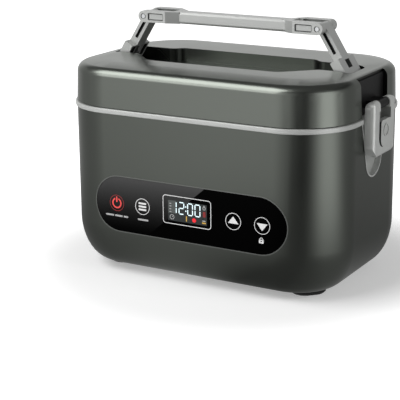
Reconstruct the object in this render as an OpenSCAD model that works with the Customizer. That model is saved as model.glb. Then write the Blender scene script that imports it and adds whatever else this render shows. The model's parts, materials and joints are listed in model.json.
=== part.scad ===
// Electric lunch box: an insulated, mains-heated carrier with a lift-off lid, a side latch at each end
// and a handle on two links that folds down into a well in the lid.
// Millimetres. The front faces -Y, right is +X, and Z = 0 is the surface that the feet stand on.

/* [Body] */
// Width of the body from side to side
body_w = 240; // [236:1:280]
// Depth of the body from front to back
body_d = 160; // [150:1:190]
// Radius of the body's upright corners, seen from above
corner_r = 47; // [42:1:52]
// Height of the body shell, from its underside to its top edge
shell_h = 127.9; // [124:0.1:150]
// Height of the rounded underside of the body
belly_h = 36.8; // [28:0.1:38]
// How far the rounded underside draws in
belly_in = 22.3; // [16:0.1:24]
// Thickness of the body's wall
wall = 2.5; // [2:0.1:3]
// Thickness of the body's floor
floor_t = 4; // [3.6:0.1:5]

/* [Feet] */
// Height of a rubber foot
foot_h = 4.5; // [3:0.1:8]
// Length of a foot
foot_l = 28; // [22:0.5:30]
// Width of a foot
foot_w = 22.3; // [16:0.1:22.5]
// Distance of a foot's centre from the corner's centre, outwards along X
foot_out_x = 11.8; // [6:0.1:12]
// Distance of a foot's centre from the corner's centre, outwards along Y
foot_out_y = 5.65; // [2:0.05:6]

/* [Base cover] */
// Width of the opening in the floor
hatch_w = 140; // [120:1:150]
// Depth of the opening in the floor
hatch_d = 84; // [78:1:90]
// Width of the ledge that the base cover sits on
hatch_ledge = 3; // [2:0.1:4]
// Thickness of the base cover
cover_t = 2.2; // [1.8:0.1:2.6]
// Radius of the opening's corners
hatch_r = 13; // [10:0.5:16]
// Radius of a screw boss inside the base
boss_r = 4.2; // [3.6:0.1:5]
// Height of a screw boss above the floor
boss_h = 8.5; // [6:0.5:10]
// Distance of a screw boss's edge from the opening's edge
boss_margin = 3.8; // [3:0.1:5]
// Length of a cooling slot in the cover
slot_len = 26; // [20:1:30]
// Width of a cooling slot
slot_w = 2.4; // [1.6:0.1:3]
// Distance from one cooling slot to the next
slot_step = 8; // [6:0.5:9]
// Radius of a screw's shank
screw_r = 1.4; // [1.2:0.1:1.6]
// Radius of a screw's head
screw_head_r = 2.9; // [2.6:0.1:3.2]
// Height of a screw's head
screw_head_h = 1.3; // [1:0.1:1.5]

/* [Rim band] */
// Height of the pale band on top of the body
band_h = 4; // [3:0.1:6]
// How far the band stands out from the body
band_out = 1.5; // [0.8:0.1:2]
// Width of the band's ring, measured in from the body's side
band_w = 16; // [15:0.1:16.5]
// Depth of the lip that locates the band inside the shell
lip_h = 5.4; // [3:0.1:8]
// Thickness of that lip
lip_t = 2.4; // [1.6:0.1:3]

/* [Side pockets] */
// Half width of a pocket at the band's top
pocket_half = 24.4; // [23:0.1:26]
// Radius of the pocket's rounded tip
pocket_tip_r = 14; // [10:0.5:16]
// Height of the tip's centre below the band's top
pocket_tip_down = 34.2; // [32:0.1:45]
// Depth of the pocket below the body's side
pocket_depth = 4.5; // [3:0.1:5]
// Thickness of the pocket's floor
tray_t = 2; // [1.6:0.1:2.2]
// Width of the pale rim around the pocket
pocket_rim = 1.25; // [0.8:0.05:2]
// How far that rim stands out from the body's side
pocket_rim_out = 0.25; // [0.1:0.05:0.3]

/* [Pan and container] */
// Distance of the heating pan's wall from the body's side
pan_inset = 18; // [17.5:0.1:20]
// Thickness of the pan's sheet
pan_t = 0.8; // [0.6:0.1:1.2]
// Width of the pan's flange
flange_w = 7; // [5:0.1:7.5]
// Space between the body's floor and the pan's floor, for the heater and its board
under_pan = 27.5; // [26:0.1:34]
// Radius of the pan's lower edge
pan_edge_r = 10; // [6:0.5:14]
// Gap between the food container and the pan's wall
container_gap = 1.2; // [0.8:0.1:3]
// Thickness of the container's sheet
container_t = 0.8; // [0.6:0.1:1.2]
// Distance of the container's rim below the pan's flange
container_down = 6; // [4:0.5:30]
// Width of the container's rolled rim
container_rim = 0.8; // [0.4:0.1:1]
// Height of that rim
container_rim_h = 1.6; // [1.2:0.1:2.4]
// Thickness of the felt around the pan
felt_t = 3.5; // [2:0.1:3.6]
// Gap between the felt and the parts above and below it
felt_gap = 6; // [3:0.5:10]

/* [Heater] */
// Length of the heating plate
heater_w = 120; // [100:1:130]
// Width of the heating plate
heater_d = 70; // [60:1:76]
// Thickness of the heating plate
heater_t = 8; // [6:0.5:9]
// Radius of the heating plate's corners
heater_r = 20; // [10:1:30]
// Width of a clamp bar under the plate
clamp_w = 10; // [8:0.5:12]
// Thickness of a clamp bar
clamp_t = 1.6; // [1.2:0.1:2]
// Distance of a clamp bar from the middle
clamp_y = 20; // [16:0.5:24]
// Distance of a clamp's nuts from the middle
nut_x = 44; // [36:1:48]
// Radius of a clamp's nut
nut_r = 3; // [2.4:0.1:3.5]
// Radius of the temperature sensor's stem
sensor_r = 4; // [3:0.1:5]
// Radius of the thermal cut-off
cutoff_r = 3.2; // [2.6:0.1:3.4]
// Length of the thermal cut-off
cutoff_l = 20; // [16:0.5:22]
// Distance of the thermal cut-off from the middle
cutoff_x = -24; // [-30:1:-22]
// Length of a heater terminal
tab_l = 6; // [5:0.5:7]
// Width of a heater terminal
tab_w = 4; // [3:0.1:5]
// Thickness of a heater terminal
tab_t = 1.2; // [0.8:0.1:1.5]
// Distance between the two heater terminals
tab_gap = 10; // [8:0.5:14]
// Radius of an insulated wire
lead_r = 0.9; // [0.7:0.05:1.1]
// Radius of a wire's bend
lead_bend = 4; // [3:0.5:5]

/* [Lid] */
// Dark gap between the band and the lid
seam = 0.6; // [0.4:0.1:1.5]
// Height of the lid from its lower edge to its flat deck
lid_h = 32; // [30:0.1:40]
// How much the lid's sides draw in for each millimetre of height
lid_draft = 0.04; // [0:0.01:0.06]
// Height of the lid's rounded upper edge
lid_edge_h = 7.2; // [5:0.1:9]
// Width of the lid's rounded upper edge
lid_edge_w = 7.78; // [5:0.1:9]
// How much the border slopes up from the rounded edge to the deck
border_rise = 1.8; // [1:0.1:3]
// Distance of the flat deck's crease from the body's side
border_w = 22; // [19:0.5:24]
// Thickness of the lid's wall
lid_wall = 2.5; // [2:0.1:3]
// Thickness of the lid's roof
lid_roof = 3.5; // [3:0.1:4]
// Half width of the lid's side recess at its open top
recess_half = 25.5; // [25:0.1:32]
// Depth of the lid's side recess
recess_depth = 5; // [4:0.1:5.4]
// Distance of the recess's corner below the deck, where its sides turn upright
recess_down = 3; // [2:0.1:5]
// Thickness of the wall behind the recess
recess_wall = 2.5; // [2:0.1:3]
// Thickness of the lid's inner plate
liner_t = 2; // [1.5:0.1:2.5]
// Distance of the inner plate from the lid's side
liner_inset = 8; // [7:0.1:10]
// Distance of the inner plate's screws from the lid's side
spot_in = 26; // [24:0.5:28]
// Height of the inner plate above the lid's lower edge
liner_up = 1; // [0.6:0.1:2]
// Width of the lid's gasket
gasket_w = 5; // [3:0.1:5.5]

/* [Handle well] */
// Depth of the well in the deck
well_depth = 10.6; // [10.5:0.1:12]
// Half width of the well's middle
well_half = 22.8; // [18:0.1:24]
// Half width of the well's ends
well_end_half = 16; // [15.9:0.1:18]
// Half length of the well's wide middle
well_mid = 60; // [50:0.5:62]
// Radius of the well's corners at its ends
well_r = 6; // [3:0.5:7]
// Radius of the bends between the well's middle and its ends
well_bend_r = 9; // [4:0.5:12]
// Gap between a link's foot and the end of the well
well_gap = 2.6; // [2:0.1:4]
// Thickness of the well's wall under the deck
well_wall = 2.5; // [2:0.1:3]
// Distance of the finger slope's front edge from the middle
scoop_front = 39.5; // [36:0.5:42]
// Half length of that straight front edge
scoop_half = 57; // [50:0.5:60]
// Radius of the finger slope's corners
scoop_r = 14; // [8:0.5:18]
// Width of the slanted ribs on the well's end walls
rib_w = 1.3; // [0.8:0.1:2]
// Distance of a rib's foot from the middle
rib_in = 69.5; // [68:0.5:72]
// Distance of a rib's head from the middle
rib_out = 80.5; // [78:0.5:84]
// How far a rib stands out from the wall
rib_t = 1.2; // [0.6:0.1:1.6]
// Distance of a rib's head below the deck
rib_down = 2; // [1:0.1:3]

/* [Handle] */
// Distance of a lower pivot from the middle
foot_x = 99.5; // [98:0.1:100.5]
// Depth of the lower pivots below the deck
foot_down = 6; // [5.6:0.1:7]
// Distance of an upper pivot from the middle, handle raised
pivot_x = 77; // [74:0.1:80]
// Rise of the upper pivots above the lower ones, handle raised
pivot_rise = 35.9; // [34:0.1:37]
// Thickness of a link
link_t = 7.74; // [7:0.02:8.4]
// Depth of a link from front to back
link_d = 12; // [10:0.1:12.4]
// Depth of a link's foot block from front to back
block_d = 27; // [24:0.1:28]
// Length of the foot block above the lower pivot
block_l = 15; // [13:0.1:15.4]
// Radius of a link's steel pins
pin_r = 1.5; // [1.2:0.1:1.8]
// Radius of a sliding pin in the grip
slider_r = 1.2; // [1:0.05:1.3]
// Half height of the grip's cheeks
cheek_r = 4.6; // [4.4:0.1:5]
// Distance at which the cheeks begin, from the middle
cheek_in = 56.4; // [54:0.1:58]
// Half depth of the cheeks
cheek_half = 13.5; // [12.5:0.1:14]
// Depth of the groove on a cheek's face
groove_t = 1; // [0.4:0.1:1]
// Half height of that groove
groove_half = 2.85; // [2:0.05:3.4]
// Radius of a pivot screw's head
grip_head_r = 1.6; // [1.5:0.1:2.2]
// Half width of the slot along a link's edge
link_slot_half = 1.3; // [0.8:0.1:1.6]
// Depth of that slot
link_slot_t = 3; // [1:0.1:4]
// Length of that slot
link_slot_l = 17.8; // [14:0.1:19]
// Half width of the window in a link's foot
foot_window_half = 3.6; // [2:0.1:4]
// Height of that window
foot_window_h = 7; // [5:0.1:8]
// Length over which a steel pin sits in the wall beside the well
pin_seat = 6; // [4:0.5:7]
// Half length of the grip's slim bar
bar_half = 47; // [40:0.5:48]
// Half depth of the slim bar
bar_d = 7; // [5.5:0.1:9]
// How far the slim bar lies below the cheeks
bar_drop = 0.5; // [0:0.1:1]
// Distance at which the channel between the cheeks begins
channel_in = 53; // [51:0.1:53.2]

/* [Latches] */
// Distance of the latch pin beyond the body's side
latch_out = 4.5; // [4:0.1:5]
// Height of the latch pin above the lid's lower edge
latch_up = 7.5; // [7:0.1:9]
// Radius of the latch's knuckles
knuckle_r = 4; // [3.6:0.1:4]
// Radius of the lid's barrel between the knuckles
barrel_r = 3.5; // [3:0.1:3.8]
// Half length of the lid's barrel
barrel_half = 9; // [7:0.1:10]
// Thickness of the bracket's plate on the lid
bracket_t = 1.2; // [0.8:0.1:2]
// Half width of the latch
latch_half = 20.5; // [18:0.1:21.5]
// Length of the latch below its pin
latch_l = 39.5; // [36:0.1:42]
// Thickness of the latch behind its pin axis plane
latch_back = 3.8; // [3:0.1:4]
// Thickness of the latch in front of its pin axis plane
latch_front = 4.2; // [3.4:0.1:5]
// Radius of the latch's front edges
latch_edge = 3.6; // [1:0.1:4]
// Radius of the latch's upper corners
latch_top_r = 6; // [2:0.5:8]
// Radius of the latch's lower corners
latch_corner = 11.5; // [8:0.5:15]
// Half width of the opening in the latch
window_half = 11; // [10.5:0.1:12]
// Height of the solid bar under that opening
window_bar = 7.2; // [6:0.1:12]
// Radius of the opening's lower corners
window_r = 8; // [4:0.5:9]
// Half width of the tongue in the opening
tongue_half = 9.4; // [5:0.1:10.2]
// Length of the tongue
tongue_l = 21; // [14:0.1:22]
// Thickness of the tongue
tongue_t = 4.4; // [2:0.1:5]
// How far the tongue stands out from the latch
tongue_out = 0.8; // [0:0.1:1.5]
// Radius of the tongue's upper corners
tongue_top_r = 2.5; // [1:0.1:4]
// Radius of the raised ring on the tongue
ring_r = 5; // [3:0.1:5.4]
// Width of that ring
ring_w = 1.1; // [0.6:0.1:1.6]
// Height of that ring
ring_out = 0.5; // [0.2:0.1:0.8]
// Height of the catch on the pocket's floor, behind the tongue
catch_h = 3; // [2:0.1:4]
// Half width of the hook on the tongue's back (mm)
hook_half = 6; // [4:0.5:7]
// Height of the hook's tip (mm)
hook_h = 3; // [2:0.1:4]
// Play left between the hook and its catch (mm)
hook_gap = 0.5; // [0.3:0.1:0.8]
// Radius of a latch pin
latch_pin_r = 1.2; // [1:0.05:1.5]

/* [Control panel] */
// Length of the panel's lens
lens_w = 168.2; // [150:0.1:176]
// Height of the panel's lens
lens_h = 44.4; // [36:0.1:48]
// Distance of the lens's centre from the middle
lens_x = 1.8; // [-3:0.1:3]
// Height of the lens's centre above the underside
lens_up = 56.3; // [50:0.1:70]
// Thickness of the lens
lens_t = 1.4; // [1:0.1:1.6]
// Width of the pale frame around the lens
bezel_w = 0.8; // [0.6:0.1:2]
// How far the frame stands out from the body
bezel_out = 0.3; // [0.2:0.1:0.8]
// Width of the seat that the lens rests on
lens_seat = 1.6; // [1:0.1:3]
// Places of the touch keys along the panel
key_x = [-62.7, -38.9, 41.6, 66];
// Radius of a key's spring
spring_r = 3.4; // [2.6:0.1:4]
// Depth of the bore in a key's spring
spring_bore = 11.5; // [4:0.5:12]
// Width of the display
display_w = 42; // [34:0.5:46]
// Height of the display
display_h = 24; // [18:0.5:26]

/* [Electronics] */
// Thickness of a circuit board
board_t = 1.6; // [1.2:0.1:2]
// Length of the control board
board_w = 146; // [130:1:150]
// Height of the control board
board_h = 34; // [28:0.5:38]
// Distance of the control board behind the body's wall
board_back = 6; // [5:0.1:8]
// Radius of the control board's posts
post_r = 2.4; // [2:0.1:3]
// Edge of a chip on the control board
chip_w = 6; // [4:0.5:7]
// Thickness of a chip
chip_t = 1.2; // [0.8:0.1:1.6]
// Length of the power board
power_w = 72; // [60:1:76]
// Width of the power board
power_d = 40; // [34:0.5:42]
// Distance of the power board's right end from the middle
power_x = 4; // [2:0.5:6]
// Gap between the power board and the bosses behind it
power_gap = 8; // [7:0.1:10]
// Height of the power board above the body's floor
power_up = 5; // [4:0.1:6]
// Height of the parts on the power board
parts_h = 4.8; // [4:0.1:5]
// Distance of the power board's screws from its edges
screw_in = 4; // [3:0.1:5]
// Radius of a post under the power board
stand_r = 2.2; // [1.8:0.1:2.6]
// Width of the ribbon between the boards
ribbon_w = 14; // [10:0.5:18]
// Thickness of the ribbon
ribbon_t = 0.6; // [0.4:0.1:0.8]
// Distance of the ribbon's left edge from the middle
ribbon_x = -20; // [-24:0.5:-16]

/* [Mains inlet] */
// Distance of the inlet's centre from the middle, on the back
inlet_x = -52; // [-56:1:-40]
// Height of the inlet's centre above the underside
inlet_up = 52; // [50:0.5:54]
// Width of the inlet's socket
socket_w = 18.4; // [17:0.1:20]
// Height of the inlet's socket
socket_h = 9.4; // [8:0.1:10.5]
// Depth of the inlet's socket
socket_l = 12.6; // [11:0.1:13]
// Thickness of the inlet's wall
inlet_wall = 2.4; // [1.8:0.1:3]
// Thickness of the inlet's flange
inlet_lip = 1.4; // [1:0.1:2]
// Width of the inlet's flange
inlet_lip_w = 2.5; // [2:0.1:4]
// Thickness of the socket's end wall
inlet_end = 2; // [1.5:0.1:3]
// Distance between the two mains pins
pin_gap = 8.6; // [8:0.1:9.4]
// Radius of a mains pin
inlet_pin_r = 1.15; // [1:0.05:1.4]
// Distance of a pin's tip behind the inlet's face
pin_in = 3; // [2:0.1:5]

/* [Hidden] */
$fn = 64;
eps = 0.5;
fit = 0.05;
clear = 0.3;
far = 40;
fillet_steps = 20;
arc_steps = 12;

// Body and band
side_x = body_w / 2;
side_y = body_d / 2;
shell_z = foot_h + shell_h;
band_z = shell_z + band_h;
floor_z = foot_h + floor_t;
lens_z = foot_h + lens_up;
foot_bevel = foot_h * 0.27;
boss_in = boss_r + boss_margin;
hatch_boss = [hatch_w / 2 - boss_in, hatch_d / 2 - boss_in];
boss_pad = boss_r + screw_r + fit;
band_edge = band_h * 0.225;

// Pan, container and heater
flange_z = band_z - band_h / 4;
pan_z = floor_z + under_pan;
container_z = pan_z + pan_t + clear;
container_top = flange_z - container_down;
heater_z = pan_z - heater_t;
tab_x = heater_w / 2 + tab_l / 2;
tab_z = heater_z + heater_t / 2 - tab_t / 2;

// Lid
lid_z = band_z + seam;
deck_z = lid_z + lid_h;
border_z = deck_z - border_rise;
lid_edge_z = border_z - lid_edge_h;
lid_edge_in = lid_draft * (lid_edge_z - lid_z);
roof_z = deck_z - lid_roof;
liner_z = lid_z + liner_up;
well_z = deck_z - well_depth;
well_end = foot_x + link_t / 2 + well_gap;
well_neck = well_mid + well_half - well_end_half;
scoop_end = scoop_half + scoop_front - well_end_half;
liner_boss_r = screw_r + lid_wall - eps;

// Handle
foot_z = deck_z - foot_down;
pivot_z = foot_z + pivot_rise;
link_l = sqrt(pow(foot_x - pivot_x, 2) + pow(pivot_rise, 2));
link_lean = atan2(foot_x - pivot_x, pivot_rise);
link_r = link_t / 2;
fold_x = foot_x - link_l;
fold_arch = max([for (t = [0:0.05:1]) link_l * sin(t * (90 - link_lean)) - t * pivot_rise]);
slot_gap = slider_r + fit * 4;
slot_half = link_d / 2 + clear;
slot_l = link_d / 4;
bar_edge = bar_d * 0.31;
bar_chamfer = bar_d * 0.23;
screw_core = grip_head_r * 0.5;
screw_l = groove_t * 4;

// Latches
latch_x = side_x + latch_out;
latch_z = lid_z + latch_up;
latch_low = latch_z - latch_l;
latch_face = latch_x + latch_front;
window_z = latch_low + window_bar;
tongue_face = latch_face + tongue_out;
tongue_r = window_r * 0.88;
ring_z = window_z + tongue_l - tongue_half + ring_w;
latch_pin_l = latch_half - ring_w;
catch_z = window_z + tongue_r;
hook_x = side_x + hook_gap;
hook_z = catch_z - clear;
recess_x = side_x - recess_depth;
tray_x = side_x - pocket_depth;
tip_z = band_z - pocket_tip_down;

// Electronics
board_y = -side_y + wall + board_back;
board_gap = board_back - clear;
power_z = floor_z + power_up;
power_top = power_z + board_t;
power_back = hatch_boss[1] - power_gap;
power_front = power_back - power_d;
inlet_z = foot_h + inlet_up;
pin_end = side_y + inlet_lip - socket_l - inlet_end;

// ---- Outlines ----

// Points along an arc about c
function arc(c, r, a0, a1, n = arc_steps) =
    [for (i = [0:n]) c + r * [cos(a0 + (a1 - a0) * i / n), sin(a0 + (a1 - a0) * i / n)]];

// Corner at b between a and c, rounded to the radius r
function bend(a, b, c, r, n = 6) =
    let (u = (a - b) / norm(a - b), v = (c - b) / norm(c - b), half = acos(u * v) / 2,
        centre = b + (u + v) / norm(u + v) * r / sin(half), from = b + u * r / tan(half) - centre,
        to = b + v * r / tan(half) - centre, a0 = atan2(from[1], from[0]), da = atan2(to[1], to[0]) - a0,
        turn = da > 180 ? da - 360 : (da < -180 ? da + 360 : da))
    arc(centre, r, a0, a0 + turn, n);

// Closed outline through the points p, each rounded to its own radius; 0 leaves a sharp corner
function rounded(p, r) = [for (i = [0:len(p) - 1]) let (last = len(p) - 1)
    each r[i] == 0 ? [p[i]] : bend(p[i == 0 ? last : i - 1], p[i], p[i == last ? 0 : i + 1], r[i])];

// Rounded rectangle with different radii at its lower and upper corners
function round_rect(x0, y0, x1, y1, r_low, r_high) = concat(
    arc([x1 - r_low, y0 + r_low], r_low, -90, 0), arc([x1 - r_high, y1 - r_high], r_high, 0, 90),
    arc([x0 + r_high, y1 - r_high], r_high, 90, 180), arc([x0 + r_low, y0 + r_low], r_low, 180, 270));

// Stadium outline of a given length and width, along X
function stadium(l, w) = concat(
    arc([(l - w) / 2, 0], w / 2, -90, 90, 2 * arc_steps),
    arc([-(l - w) / 2, 0], w / 2, 90, 270, 2 * arc_steps));

// Quarter of an ellipse in [inset, height] pairs, from a flat underside up to an upright wall
function low_fillet(in, h, z) = [for (i = [0:fillet_steps]) let (a = 90 * i / fillet_steps)
    [in * (1 - sin(a)), z + h * (1 - cos(a))]];

// Quarter of an ellipse in [inset, height] pairs, from an upright wall over to a flat top
function high_fillet(in, h, inset, z) = [for (i = [0:fillet_steps]) let (a = 90 * i / fillet_steps)
    [inset + in * (1 - cos(a)), z + h * sin(a)]];

// ---- Forms ----

// Turned profile on a rounded-rectangle plan: the profile lists [inset, height] pairs upwards
module tub_form(profile, w, d, r) {
    cx = w / 2 - r;
    cy = d / 2 - r;
    last = len(profile) - 1;
    low = profile[0][1];
    top = profile[last][1];
    translate([-cx, 0, 0]) rotate([90, 0, 90]) linear_extrude(2 * cx)
        polygon(concat([for (p = profile) [d / 2 - p[0], p[1]]],
            [for (i = [last:-1:0]) [profile[i][0] - d / 2, profile[i][1]]]));
    for (s = [-1, 1])
        translate([0, cy, 0]) rotate([90, 0, 0]) linear_extrude(2 * cy)
            polygon(concat([[s * cx, low]], [for (p = profile) [s * (w / 2 - p[0]), p[1]]], [[s * cx, top]]));
    for (q = [0:3])
        translate([(q == 0 || q == 3 ? 1 : -1) * cx, (q < 2 ? 1 : -1) * cy, 0]) rotate([0, 0, 90 * q])
            rotate_extrude(angle = 90)
                polygon(concat([[0, low]], [for (p = profile) [r - p[0], p[1]]], [[0, top]]));
}

// Straight-walled plate on the same kind of plan
module tub_plate(z0, z1, w, d, r) {
    tub_form([[0, z0], [0, z1]], w, d, r);
}

// Plate whose plan lies a given distance inside the body's plan
module inset_plate(inset, z0, z1) {
    tub_plate(z0, z1, body_w - 2 * inset, body_d - 2 * inset, corner_r - inset);
}

// The body's outer form, grown outwards by g
module body_form(g, z0, z1) {
    tub_form(concat(low_fillet(belly_in, belly_h, z0), [[0, z1]]), body_w + 2 * g, body_d + 2 * g,
        corner_r + g);
}

// Upright wall of the body's plan, grown by g, for the panel's curved lens
module body_wall(g) {
    belly = [for (p = low_fillet(belly_in, belly_h, foot_h)) if (p[1] > foot_h + belly_h / 2) p];
    tub_form(belly, body_w + 2 * g, body_d + 2 * g, corner_r + g);
    inset_plate(-g, foot_h + belly_h - fit, shell_z);
}

// Side pocket's outline in (Y, Z): a round tip with two straight sides tangent to it
tip_dist = norm([pocket_half, pocket_tip_down]);
tangent_a = atan2(pocket_tip_down, pocket_half) - acos(pocket_tip_r / tip_dist);
function pocket_y(z, g) = (pocket_tip_r + g - sin(tangent_a) * (z - tip_z)) / cos(tangent_a);
module pocket_prism(g, x0, x1, top) {
    translate([x0, 0, 0]) rotate([90, 0, 90]) linear_extrude(x1 - x0)
        polygon(concat([[-pocket_y(top, g), top]],
            arc([0, tip_z], pocket_tip_r + g, 180 - tangent_a, 360 + tangent_a, 2 * arc_steps),
            [[pocket_y(top, g), top]]));
}

// Prism through the front wall with a stadium outline grown by g
module lens_prism(g) {
    translate([lens_x, -side_y + far / 2, lens_z]) rotate([90, 0, 0])
        linear_extrude(far) polygon(stadium(lens_w + 2 * g, lens_h + 2 * g));
}

// Upright rod, or along Y or X, centred at p
module rod_y(p, r, l) {
    translate(p) rotate([90, 0, 0]) cylinder(h = l, r = r, center = true);
}

module rod_x(p, r, l) {
    translate(p) rotate([0, 90, 0]) cylinder(h = l, r = r, center = true);
}

module both_ends() {
    children();
    mirror([1, 0, 0]) children();
}

module four_ways(x, y) {
    for (sx = [-1, 1], sy = [-1, 1]) translate([sx * x, sy * y, 0]) children();
}

module at_bosses() {
    four_ways(hatch_boss[0], hatch_boss[1]) children();
}

// Screw with its head at the bottom
module screw_up(z, l) {
    translate([0, 0, z]) {
        cylinder(h = screw_head_h, r = screw_head_r);
        cylinder(h = l, r = screw_r);
    }
}

// ---- Body ----

module outer_shell() {
    inlet_r = 2 * (inlet_wall + fit);
    color("#4b4d4b") difference() {
        union() {
            difference() {
                body_form(0, foot_h, shell_z);
                tub_form(concat(low_fillet(belly_in, belly_h, floor_z), [[0, shell_z + eps]]),
                    body_w - 2 * wall, body_d - 2 * wall, corner_r - wall);
            }
            at_bosses() translate([0, 0, floor_z - eps]) cylinder(h = boss_h + eps, r = boss_r);
        }
        // Opening in the floor, with a ledge for the cover and pads round the bosses
        difference() {
            tub_plate(foot_h - eps, floor_z + eps, hatch_w - 2 * hatch_ledge, hatch_d - 2 * hatch_ledge,
                hatch_r - hatch_ledge);
            at_bosses() translate([0, 0, foot_h - eps]) cylinder(h = floor_t + 2 * eps, r = boss_pad);
        }
        tub_plate(foot_h - eps, foot_h + cover_t + fit, hatch_w, hatch_d, hatch_r);
        at_bosses() translate([0, 0, foot_h]) cylinder(h = floor_t + boss_h + eps, r = screw_r + fit / 2);
        // Side openings for the pocket trays
        both_ends() pocket_prism(pocket_rim + fit, tray_x - tray_t - eps, side_x + eps, shell_z + eps);
        // Seat of the panel's lens and its frame, with a window behind the lens
        difference() {
            lens_prism(bezel_w + fit);
            body_wall(-lens_t - fit);
        }
        lens_prism(-lens_seat);
        // Mains inlet
        translate([inlet_x, side_y + eps, inlet_z]) rotate([90, 0, 0])
            linear_extrude(wall + 2 * eps) polygon(stadium(socket_w + inlet_r, socket_h + inlet_r));
    }
}

module rim_band() {
    soft = band_edge * 0.3;
    ring = [[band_edge, shell_z], [soft, shell_z + soft], [0, shell_z + band_edge], [0, band_z - band_edge],
        [soft, band_z - soft], [band_edge, band_z]];
    color("#c9cac8") difference() {
        union() {
            difference() {
                union() {
                    tub_form(ring, body_w + 2 * band_out, body_d + 2 * band_out, corner_r + band_out);
                    inset_plate(wall + fit, shell_z - lip_h, shell_z);
                }
                inset_plate(band_w, shell_z - eps, band_z + eps);
                inset_plate(wall + fit + lip_t, shell_z - lip_h - eps, shell_z);
                inset_plate(pan_inset - flange_w - clear, flange_z, band_z + eps);
            }
            both_ends() pocket_prism(pocket_rim, tray_x - tray_t, side_x + pocket_rim_out, shell_z);
        }
        both_ends() pocket_prism(0, tray_x, side_x + far, band_z + eps);
    }
    // Catch behind each latch's tongue
    color("#c9cac8") both_ends() translate([tray_x - eps, ring_w - tongue_half, catch_z])
        cube([pocket_depth + eps, 2 * (tongue_half - ring_w), catch_h]);
}

module base_cover() {
    color("#2e2f2e") difference() {
        tub_plate(foot_h + fit, foot_h + cover_t, hatch_w - 2 * fit, hatch_d - 2 * fit, hatch_r - fit);
        at_bosses() translate([0, 0, foot_h - eps]) {
            cylinder(h = cover_t + 2 * eps, r = screw_r + clear);
            cylinder(h = screw_head_h + eps + fit, r = screw_head_r + clear);
        }
        // Cooling slots
        for (i = [-4:4]) translate([i * slot_step, 0, foot_h - eps]) rotate([0, 0, 90])
            linear_extrude(cover_t + 2 * eps) polygon(stadium(slot_len, slot_w));
    }
}

module cover_screws() {
    color("#9a9c9e") at_bosses() screw_up(foot_h + fit, boss_h);
}

module foot(sx, sy) {
    half = (foot_l - foot_w) / 2;
    r = foot_w / 2;
    low_r = r - foot_bevel;
    at = [sx * (side_x - corner_r + foot_out_x), sy * (side_y - corner_r + foot_out_y), 0];
    color("#1d1d1d") translate(at)
        rotate([0, 0, -sx * sy * 45]) {
            translate([-half, 0, 0]) rotate([90, 0, 90]) linear_extrude(2 * half) polygon([[-low_r, 0],
                [low_r, 0], [r, foot_bevel], [r, foot_h], [-r, foot_h], [-r, foot_bevel]]);
            for (s = [-1, 1]) translate([s * half, 0, 0]) rotate_extrude()
                polygon([[0, 0], [low_r, 0], [r, foot_bevel], [r, foot_h], [0, foot_h]]);
        }
}

// ---- Pan and heater ----

// Tub of the pan and the container: outer form less the same form one sheet further in
module sheet_tub(inset, edge, z0, z1, t) {
    difference() {
        union() {
            tub_form(concat(low_fillet(edge, edge, z0), [[0, z1]]), body_w - 2 * inset, body_d - 2 * inset,
                corner_r - inset);
            children();
        }
        tub_form(concat(low_fillet(edge, edge, z0 + t), [[0, z1 + eps]]), body_w - 2 * (inset + t),
            body_d - 2 * (inset + t), corner_r - inset - t);
    }
}

module heating_pan() {
    color("#b9bcbe") sheet_tub(pan_inset, pan_edge_r, pan_z, flange_z + pan_t, pan_t)
        inset_plate(pan_inset - flange_w, flange_z, flange_z + pan_t);
}

module pan_insulation() {
    low = inlet_z + socket_h + felt_gap;
    top = shell_z - lip_h - felt_gap;
    color("#d8d4c8") difference() {
        inset_plate(pan_inset - clear - felt_t, low, top);
        inset_plate(pan_inset - clear, low - eps, top + eps);
    }
}

module heating_plate() {
    color("#a7aaad") difference() {
        tub_plate(heater_z, pan_z, heater_w, heater_d, heater_r);
        translate([0, 0, heater_z - eps]) cylinder(h = heater_t + 2 * eps, r = sensor_r * 1.75);
    }
    // Terminals
    color("#c8a45c") for (s = [0, 1])
        translate([-heater_w / 2 - tab_l, s * tab_gap - tab_w / 2, tab_z]) cube([tab_l, tab_w, tab_t]);
}

module heater_clamps() {
    bar_l = heater_w - 4 * tab_w;
    color("#8d9093") for (s = [-1, 1]) {
        translate([-bar_l / 2, s * clamp_y - clamp_w / 2, heater_z - clamp_t]) cube([bar_l, clamp_w, clamp_t]);
        for (t = [-1, 1]) translate([t * nut_x, s * clamp_y, heater_z - clamp_t - nut_r])
            cylinder(h = nut_r, r = nut_r);
    }
}

module thermal_cutoff() {
    cap_l = cutoff_l * 0.3;
    color("#d9d2c0") rod_x([cutoff_x, 0, heater_z - cutoff_r], cutoff_r, cutoff_l);
    color("#8d9093") for (s = [-1, 1])
        rod_x([cutoff_x + s * (cutoff_l + cap_l) / 2, 0, heater_z - cutoff_r], lead_r, cap_l);
}

module temperature_sensor() {
    color("#bfc2c4") {
        translate([0, 0, heater_z]) cylinder(h = heater_t, r = sensor_r);
        translate([0, 0, heater_z - sensor_r / 2]) cylinder(h = sensor_r / 2, r = sensor_r * 1.4);
    }
}

// ---- Control panel ----

module panel_lens() {
    color("#0d0e10") difference() {
        intersection() {
            lens_prism(0);
            body_wall(0);
        }
        body_wall(-lens_t);
    }
}

module panel_bezel() {
    color("#c4c5c3") difference() {
        intersection() {
            lens_prism(bezel_w);
            body_wall(bezel_out);
        }
        lens_prism(fit);
        body_wall(-lens_t);
    }
}

module display_module() {
    color("#202225") translate([lens_x - display_w / 2, board_y - board_gap, lens_z - display_h / 2])
        cube([display_w, board_gap, display_h]);
}

module control_board() {
    color("#2f6b45") translate([lens_x - board_w / 2, board_y, lens_z - board_h / 2])
        cube([board_w, board_t, board_h]);
    color("#222222") for (i = [0:2])
        translate([key_x[0] + (i + 1) * chip_w * 1.5, board_y + board_t, lens_z - board_h / 3])
            cube([chip_w, chip_t, chip_w]);
}

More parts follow.
